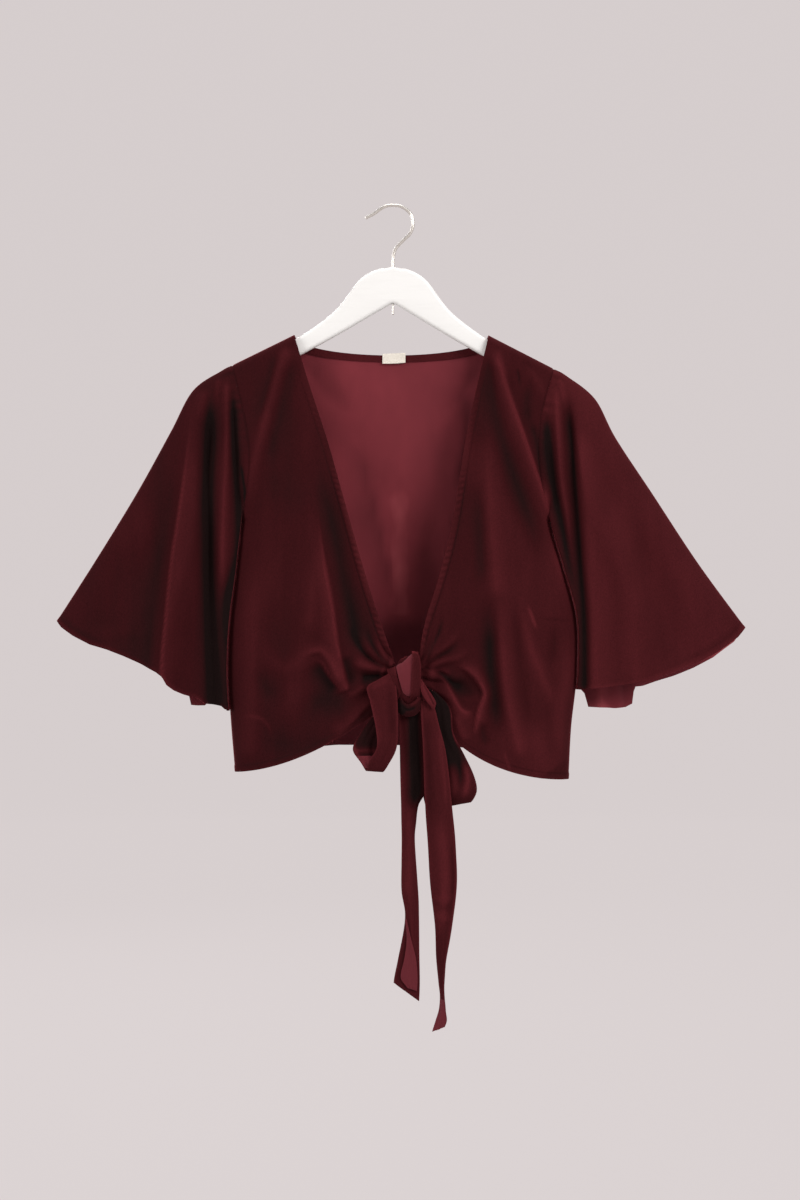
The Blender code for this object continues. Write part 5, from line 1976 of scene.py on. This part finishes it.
# Creases of the ties, as for the panels; those of height 0 only paint shade, as in the loops' shaded inner
# parts
NEAR_TAIL_LEFT = (
    Crease(((22.5, -560), (23, -600), (24.5, -640), (21, -668)), 8, 8, -1.2, 0.0, 0.3, -0.80),
    Crease(((10, -565), (10, -640), (12, -700)), 3, 4, 0.6, 0.1, 0.3, 0.10),
    Crease(((16, -656), (18, -700), (16, -745), (14, -765)), 4, 5, 0.8, 0.2, 0.4, 0.24),
    Crease(((18, -730), (20, -790), (22, -830)), 4, 4, 0.8, 0.3, 0.3, 0.12),
    Crease(((2, -858), (16, -866), (28, -874)), 4, 4, 0.6, 0.0, 0.0, 0.16),
)
NEAR_TAIL_RIGHT = (
    Crease(((50, -575), (55, -620), (60, -680)), 3, 1.5, 0.8, 0.2, 0.4, 0.24),
    Crease(((36, -560), (39, -620), (42, -700)), 4, 5, -0.8, 0.1, 0.4, -0.16),
    Crease(((50, -662), (55, -710), (57, -742), (54, -775), (51, -812)), 7, 6, 1.0, 0.2, 0.3, 0.36),
    Crease(((62, -690), (65, -740), (60, -800)), 3, 3, -0.8, 0.3, 0.3, -0.20),
    Crease(((44, -758), (56, -762), (66, -757)), 2, 2, 0.8, 0.3, 0.3, 0.20),
    Crease(((44, -766), (55, -771), (65, -767)), 2.5, 2.5, -0.7, 0.3, 0.3, -0.22),
    Crease(((45, -777), (55, -782), (64, -779)), 2.5, 2.5, 0.8, 0.3, 0.3, 0.20),
)
NEAR_LOOP_LEFT = (
    Crease(((-27, -540), (-21, -570), (-11, -600)), 4, 6, 0.8, 0.2, 0.3, 0.18),
    Crease(((-4, -525), (-2, -560), (0, -590)), 4, 4, -0.6, 0.2, 0.3, -0.14),
    Crease(((-24, -533), (-14, -528), (-4, -521)), 3, 3, 0.6, 0.2, 0.3, 0.16),
)
FAR_LOOP_LEFT = (
    Crease(((-34, -555), (-30, -590)), 40, 40, 0.0, 0.0, 0.0, -0.38),
    Crease(((-44, -601), (-28, -600), (-14, -602)), 3, 3, 0.6, 0.0, 0.0, 0.45),
    Crease(((-27, -556), (-37, -578), (-42, -590), (-40, -602), (-32, -613)), 2, 2, 0.3, 0.1, 0.1, 0.55),
)
NEAR_LOOP_RIGHT = (
    Crease(((46, -535), (54, -580), (60, -612), (58, -640)), 24, 24, 0.0, 0.0, 0.55, -0.74),
    Crease(((52, -538), (61, -549), (64, -560), (66, -582), (74, -602)), 1.3, 1.3, 0.3, 0.1, 0.2, 0.75),
    Crease(((66, -600), (68, -630), (68, -660)), 30, 30, 0.0, 0.2, 0.0, -0.06),
    Crease(((75, -608), (81, -626), (80, -642), (74, -654)), 3, 3, 1.2, 0.3, 0.3, 0.50),
    Crease(((62, -612), (66, -634), (66, -655)), 3, 4, 0.8, 0.3, 0.3, 0.30),
    Crease(((69, -600), (73, -622), (73, -644)), 2.5, 2.5, -1.0, 0.3, 0.3, -0.25),
)


class Wrap(NamedTuple):
    """One wrap of the knot: its spans, its wall, its crown, its tone and painted rim highlight, its creases
    and its turned part.
    """

    name: str
    spans: Sequence[Span]
    wall: float
    crown: float
    tone: float
    rim_highlight: float
    near: tuple[Crease, ...] = ()
    wrong_outside: tuple[float, float] = NONE

    def ribbon(self, wardrobe: Wardrobe, ripple: float) -> Ribbon:
        """The wrap as a tie.

        Args:
            wardrobe: the finishes.
            ripple: how much it ripples.

        Returns:
            The tie.
        """
        options = self._asdict()
        name, spans = options.pop("name"), options.pop("spans")
        return Ribbon(name, [span.section() for span in spans], wardrobe, ripple=ripple, **options)


class Level(NamedTuple):
    """One level of the knot: its centre and its half sizes."""

    z: float
    x: float
    y: float
    half_width: float
    half_depth: float


@dataclass
class Knot:
    """The knot: the gathered cloth inside, and the wraps of the two ties over it."""

    wardrobe: Wardrobe
    levels: tuple[Level, ...] = (
        Level(-497.5, 18.8, -54.0, 4.0, 4.0),
        Level(-502.0, 17.2, -54.5, 9.5, 8.5),
        Level(-512.0, 16.2, -54.5, 11.6, 10.5),
        Level(-527.0, 16.2, -54.5, 12.0, 11.0),
        Level(-540.0, 16.8, -55.0, 11.8, 10.5),
        Level(-550.0, 18.4, -55.0, 10.0, 8.5),
        Level(-556.0, 19.0, -55.0, 7.5, 5.5),
    )
    sides: int = 48
    steps: int = 8
    square: float = 0.8
    pleats: tuple[tuple[float, int, float], ...] = ((0.04, 9, 9.0), (0.03, 4, -14.0))
    ripple: float = 0.15
    fill: float = 0.8

    def core(self) -> bmesh.types.BMesh:
        """The gathered inside, a rounded form with soft pleats.

        Returns:
            The mesh.
        """
        mesh = bmesh.new()
        rings = []
        for z, x, y, half_width, half_depth in smooth_steps(self.levels, self.steps):
            ring = []
            for side in range(self.sides):
                turn = 2 * math.pi * side / self.sides
                pleats = (size * math.sin(count * turn + z / twist) for size, count, twist in self.pleats)
                pleat = 1 - sum(pleats)
                cos, sin = math.cos(turn), math.sin(turn)
                across = x + half_width * pleat * math.copysign(abs(cos) ** self.square, cos)
                deep = y + half_depth * pleat * math.copysign(abs(sin) ** self.square, sin)
                ring.append(mesh.verts.new((across * MM, deep * MM, z * MM)))
            rings.append([mesh.edges.new((ring[side], ring[side - 1])) for side in range(self.sides)])
        for upper, lower in zip(rings, rings[1:]):
            bmesh.ops.bridge_loops(mesh, edges=upper + lower)
        for ring in (rings[0], rings[-1]):
            bmesh.ops.contextual_create(mesh, geom=ring)
        bmesh.ops.recalc_face_normals(mesh, faces=mesh.faces)
        return mesh

    def wraps(self) -> tuple[Ribbon, ...]:
        """The bands that go round the core.

        Returns:
            The bands.
        """
        # the folds, the arcs and the inside shade paint light and shade along the wraps; the last arc is
        # painted shade alone
        folds = (
            Crease(((33, -527), (39, -539), (45, -551)), 1.2, 1.2, -0.8, 0.1, 0.1, -0.45),
            Crease(((30, -528), (36, -542), (42, -551)), 1.5, 1.5, 0.4, 0.1, 0.1, 0.20),
        )
        arcs = (
            Crease(((18, -551), (25, -547), (30, -541)), 1.2, 1.2, 0.6, 0.2, 0.2, 0.26),
            Crease(((8, -549), (16, -555), (26, -552)), 1.5, 2.0, -0.7, 0.2, 0.2, -0.30),
            Crease(((6, -545), (8, -553), (14, -560)), 5, 3, 0.0, 0.1, 0.2, -0.35),
        )
        inside = (Crease(((1.5, -527), (3.6, -533), (5.0, -541)), 1.2, 1.2, -0.8, 0.2, 0.2, -0.55),)
        wraps = (
            Wrap("lower wrap", LOWER_WRAP, 1.6, 1.8, -0.16, 0.02, arcs),
            Wrap("roll", ROLL, 1.4, 1.2, 0.10, 0.30, inside),
            Wrap("facet", FACET, 1.2, 0.5, 0.62, 0.0, wrong_outside=ALL),
            Wrap("band", BAND, 1.6, 1.8, 0.10, 0.20),
            Wrap("twist", TWIST, 1.4, 0.8, 0.58, 0.25, folds),
        )
        return tuple(wrap.ribbon(self.wardrobe, self.ripple) for wrap in wraps)

    def make(self) -> bpy.types.Object:
        """Build the knot.

        Returns:
            The piece.
        """
        whole = self.core()
        for wrap in self.wraps():
            join(whole, wrap.mesh())
        materials = (self.wardrobe.velvet, self.wardrobe.wrong_side)
        piece = put_piece("velvet_knot", whole, materials, "tie_knot")
        return piece


@dataclass
class Bow:
    """The knot, the two loops and the two tails."""

    wardrobe: Wardrobe

    def make(self) -> list[bpy.types.Object]:
        """Build the bow.

        Returns:
            The pieces.
        """
        velvet = self.wardrobe
        corner = Ribbon(
            "corner",
            [span.section() for span in TAIL_CORNER],
            velvet,
            wall=0.8,
            crown=0.3,
            ripple=0.3,
            tone=0.5,
            rim_highlight=0.0,
            wrong_outside=ALL,
        )
        ties = {
            "tie_tail_left": Ribbon(
                "velvet_tail_left", TAIL_LEFT, velvet, tone=0.22, near=NEAR_TAIL_LEFT, flaps=(corner,)
            ),
            "tie_tail_right": Ribbon(
                "velvet_tail_right",
                TAIL_RIGHT,
                velvet,
                tone=0.24,
                near=NEAR_TAIL_RIGHT,
                wrong_outside=(9.2, PAST_END),
            ),
            "tie_loop_left": Ribbon(
                "velvet_loop_left",
                LOOP_LEFT,
                velvet,
                tone=0.18,
                turns_at=7.2,
                near=NEAR_LOOP_LEFT,
                far=FAR_LOOP_LEFT,
                wrong_inside=(7.4, 8.5),
            ),
            "tie_loop_right": Ribbon(
                "velvet_loop_right",
                LOOP_RIGHT,
                velvet,
                turns_at=7.0,
                near=NEAR_LOOP_RIGHT,
                far=NEAR_LOOP_RIGHT,
                wrong_inside=NONE,
            ),
        }
        return [Knot(velvet).make()] + [tie.make(node) for node, tie in ties.items()]


# --------------------------------------------------------------------------------------------------
# The hanger


def curve_piece(curve: bpy.types.Curve) -> bmesh.types.BMesh:
    """A curve's shape as a mesh, with its caps welded.

    Args:
        curve: the curve.

    Returns:
        The mesh.
    """
    holder = bpy.data.objects.new("curve holder", curve)
    bpy.context.scene.collection.objects.link(holder)
    graph = bpy.context.evaluated_depsgraph_get()
    data = bpy.data.meshes.new_from_object(holder.evaluated_get(graph))
    bpy.data.objects.remove(holder)
    mesh = bmesh.new()
    mesh.from_mesh(data)
    bpy.data.meshes.remove(data)
    bmesh.ops.remove_doubles(mesh, verts=mesh.verts, dist=WELD)
    bmesh.ops.recalc_face_normals(mesh, faces=mesh.faces)
    return mesh


@dataclass
class Hanger:
    """The wooden hanger and its wire hook."""

    wardrobe: Wardrobe
    body: BodyCut
    thick: float = 11.0
    edge: float = 4.2
    wire: float = 3.6
    foot_start: float = -104.0
    foot_end: float = -119.6
    pitch: float = 1.6
    thread: tuple[float, float] = (0.52, 0.70)
    bore_room: float = 0.4
    bore_middle: float = -88.0
    bore_length: float = 80.0
    bore_sides: int = 32
    sharp: float = 40.0
    neck_clear: float = 4.8
    shoulder_clear: float = 2.6
    clear_from: float = 14.0
    clear_to: float = 184.0
    outline_steps: int = 5
    hook_steps: int = 8
    edge_steps: int = 5
    wire_steps: int = 6
    arm_top: tuple[tuple[float, float], ...] = (
        (0.0, -66.4),
        (4.0, -67.3),
        (9.0, -68.3),
        (15.0, -68.9),
        (26.0, -73.2),
        (35.0, -79.4),
        (42.0, -87.0),
        (49.0, -97.0),
        (62.0, -113.5),
        (80.0, -129.0),
    )
    arm_end: tuple[tuple[float, float], ...] = (
        (205.0, -198.0),
        (211.5, -202.0),
        (215.6, -207.0),
        (216.5, -211.5),
        (214.4, -216.0),
        (209.5, -218.0),
        (203.0, -216.6),
    )
    arm_under: tuple[tuple[float, float], ...] = (
        (150.0, -190.5),
        (104.0, -166.5),
        (59.0, -141.5),
        (22.0, -119.4),
        (8.0, -111.3),
        (3.0, -108.3),
        (0.0, -107.4),
    )
    hook: tuple[tuple[float, float], ...] = (
        (0.0, -103.0),
        (0.0, -90.0),
        (0.0, -67.0),
        (0.6, -54.0),
        (3.6, -45.5),
        (11.5, -37.0),
        (19.0, -29.5),
        (22.2, -20.0),
        (20.6, -9.5),
        (15.0, -3.0),
        (8.0, 0.8),
        (0.0, 1.8),
        (-7.8, 0.9),
        (-14.5, -2.6),
        (-21.0, -7.4),
        (-30.5, -12.4),
    )

    def outline(self) -> list[tuple[float, float]]:
        """The closed outline of the wood in the front view.

        Returns:
            The points, in order.
        """
        neck = self.body.neck_half
        clear = [(neck, self.neck_clear)]
        clear += [(x, self.shoulder_clear) for x in (neck + self.clear_from, self.clear_to)]
        line = self.body.shoulder_line
        shoulder = [(x, float(line(x)) + self.body.tilt * x - drop) for x, drop in clear]
        corners = [*self.arm_top, *shoulder, *self.arm_end, *self.arm_under]
        arm = smooth_steps(corners, self.outline_steps)
        mirrored = [(-x, z) for x, z in arm[::-1][1:-1]]
        return [(x, z - self.body.tilt * x) for x, z in [*arm, *mirrored]]

    def make_wood(self) -> bpy.types.Object:
        """The wood: a flat outline with rounded edges and a hole for the hook.

        Returns:
            The piece.
        """
        outline = self.outline()
        curve = bpy.data.curves.new("hanger outline", "CURVE")
        curve.dimensions = "2D"
        curve.fill_mode = "BOTH"
        curve.extrude = (self.thick / 2 - self.edge) * MM
        curve.bevel_depth = self.edge * MM
        curve.offset = -self.edge * MM
        curve.bevel_resolution = self.edge_steps
        spline = curve.splines.new("POLY")
        spline.points.add(len(outline) - 1)
        for point, (x, z) in zip(spline.points, outline):
            point.co = (x * MM, z * MM, 0.0, 1.0)
        spline.use_cyclic_u = True
        mesh = curve_piece(curve)
        for vert in mesh.verts:
            vert.co = Vector((vert.co.x, -vert.co.z, vert.co.y))
        piece = put_piece("hanger_wood", mesh, (self.wardrobe.lacquer,), "hanger_body")
        self.drill(piece)
        return piece

    def drill(self, piece: bpy.types.Object) -> None:
        """Drill the hole for the hook, from the apex to the underside.

        Args:
            piece: the wood.
        """
        bit = bmesh.new()
        radius = (self.wire / 2 + self.bore_room) * MM
        made = bmesh.ops.create_cone(
            bit,
            cap_ends=True,
            segments=self.bore_sides,
            radius1=radius,
            radius2=radius,
            depth=self.bore_length * MM,
        )
        bmesh.ops.translate(bit, verts=made["verts"], vec=(0.0, 0.0, self.bore_middle * MM))
        data = bpy.data.meshes.new("drill")
        bit.to_mesh(data)
        bit.free()
        cutter = bpy.data.objects.new("drill", data)
        bpy.context.scene.collection.objects.link(cutter)
        cut = piece.modifiers.new("bore", "BOOLEAN")
        cut.operation = "DIFFERENCE"
        cut.solver = "EXACT"
        cut.object = cutter
        graph = bpy.context.evaluated_depsgraph_get()
        drilled = bpy.data.meshes.new_from_object(piece.evaluated_get(graph))
        piece.modifiers.clear()
        piece.data = drilled
        bpy.data.objects.remove(cutter)
        drilled.set_sharp_from_angle(angle=math.radians(self.sharp))

    def make_hook(self) -> bpy.types.Object:
        """The hook: one bent wire with a screw thread at its foot.

        Returns:
            The piece.
        """
        curve = bpy.data.curves.new("hook wire", "CURVE")
        curve.dimensions = "3D"
        curve.bevel_depth = self.wire / 2 * MM
        curve.bevel_resolution = self.wire_steps
        curve.use_fill_caps = True
        path = smooth_steps(self.hook, self.hook_steps)
        turns = np.arange(self.foot_end, self.foot_start, self.pitch / 2)
        foot = [(0.0, z, self.thread[number % 2]) for number, z in enumerate(turns)]
        wire = [(x, z, 1.0) for x, z in path]
        spline = curve.splines.new("POLY")
        spline.points.add(len(foot) + len(wire) - 1)
        for point, (x, z, radius) in zip(spline.points, foot + wire):
            point.co = (x * MM, 0.0, z * MM, 1.0)
            point.radius = radius
        mesh = curve_piece(curve)
        return put_piece("hook_wire", mesh, (self.wardrobe.wire,), "hanger_hook")

    def make(self) -> list[bpy.types.Object]:
        """Build the hanger."""
        return [self.make_wood(), self.make_hook()]


# --------------------------------------------------------------------------------------------------
# The studio


@dataclass(frozen=True)
class Lamp:
    """A soft rectangular lamp."""

    name: str
    place: tuple[float, float, float]
    aim: tuple[float, float, float]
    size: float
    power: float
    colour: Colour = WHITE

    def make(self) -> None:
        """Put the lamp in the studio."""
        light = bpy.data.lights.new(self.name, "AREA")
        light.shape = "SQUARE"
        light.size = self.size
        light.energy = self.power
        light.color = self.colour
        lamp = bpy.data.objects.new(self.name, light)
        bpy.context.scene.collection.objects.link(lamp)
        lamp.location = self.place
        lamp.rotation_euler = (Vector(self.aim) - Vector(self.place)).to_track_quat("-Z", "Y").to_euler()


@dataclass
class Studio:
    """A seamless pale sweep, soft lamps and the camera."""

    wardrobe: Wardrobe
    floor_z: float = -1.25
    reach: float = 8.0
    bend: float = 1.5
    wall_top: float = 7.0
    pixel: float = 1.11
    distance: float = 2.8
    eye: tuple[float, float] = (0.00777, -0.43623)
    frame_height: int = 1200
    sensor: float = 36.0
    ambient: float = 0.45
    air: Colour = (1.0, 0.985, 0.98)
    bend_steps: int = 12
    sides: int = 96
    sight: float = 50.0
    middle: tuple[float, float, float] = (0.0, 0.0, -0.4)

    def make(self) -> None:
        """Build the studio."""
        self.make_sweep()
        self.make_camera()
        for lamp in (
            Lamp("key", (2.3, -2.5, 1.1), self.middle, 1.6, 75.0),
            Lamp("fill", (-2.6, -1.6, 0.0), self.middle, 1.4, 34.0),
            Lamp("top", (0.0, 0.3, 2.2), self.middle, 1.8, 36.0),
            Lamp("back", (-1.2, 3.0, 0.8), self.middle, 1.8, 50.0),
            Lamp("bounce", (0.3, -1.3, -1.2), self.middle, 2.0, 1.5),
        ):
            lamp.make()
        world = bpy.data.worlds.new("studio air")
        world.use_nodes = True
        background = world.node_tree.nodes["Background"]
        background.inputs["Color"].default_value = (*self.air, 1.0)
        background.inputs["Strength"].default_value = self.ambient
        bpy.context.scene.world = world
        bpy.context.scene.view_settings.view_transform = "Standard"

    def make_sweep(self) -> None:
        """A round floor that bends up into a wall all round. It takes no light away from the top."""
        mesh = bmesh.new()
        profile = [(0.0, self.floor_z)]
        for step in range(self.bend_steps + 1):
            turn = math.pi / 2 * step / self.bend_steps
            out = self.reach - self.bend + self.bend * math.sin(turn)
            profile.append((out, self.floor_z + self.bend * (1 - math.cos(turn))))
        profile.append((self.reach, self.wall_top))
        verts = [mesh.verts.new((out, 0.0, up)) for out, up in profile]
        edges = [mesh.edges.new(pair) for pair in zip(verts, verts[1:])]
        bmesh.ops.spin(
            mesh,
            geom=verts + edges,
            cent=(0.0, 0.0, 0.0),
            axis=(0.0, 0.0, 1.0),
            dvec=(0.0, 0.0, 0.0),
            angle=2 * math.pi,
            steps=self.sides,
            use_merge=True,
        )
        bmesh.ops.remove_doubles(mesh, verts=mesh.verts, dist=WELD)
        bmesh.ops.recalc_face_normals(mesh, faces=mesh.faces)
        for face in mesh.faces:
            face.smooth = True
        data = bpy.data.meshes.new("sweep")
        mesh.to_mesh(data)
        mesh.free()
        data.materials.append(self.wardrobe.paper)
        sweep = bpy.data.objects.new("sweep", data)
        sweep.visible_diffuse = False
        sweep.visible_shadow = False
        bpy.context.scene.collection.objects.link(sweep)

    def make_camera(self) -> None:
        """The camera, level and square to the front."""
        camera = bpy.data.objects.new("camera", bpy.data.cameras.new("camera"))
        bpy.context.scene.collection.objects.link(camera)
        camera.location = (self.eye[0], -self.distance, self.eye[1])
        camera.rotation_euler = (math.pi / 2, 0.0, 0.0)
        camera.data.sensor_width = self.sensor
        camera.data.lens = self.sensor * self.distance / (self.frame_height * self.pixel * MM)
        camera.data.clip_end = self.sight
        bpy.context.scene.camera = camera


# --------------------------------------------------------------------------------------------------


def main() -> None:
    """Build and dress every piece."""
    logging.basicConfig(level=logging.INFO, format="%(message)s")
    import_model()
    wardrobe = Wardrobe()
    Studio(wardrobe).make()
    body = BodyCut()
    hanger = Hanger(wardrobe, body).make()
    cloth = Cloth(wardrobe, body=body)
    panels = cloth.make()
    trim = NeckTrim(wardrobe, body).make(cloth.panels()["velvet_back"])
    bow = Bow(wardrobe).make()
    log.info("%d pieces", len(hanger) + len(panels) + len(trim) + len(bow))


if __name__ == "__main__":
    main()
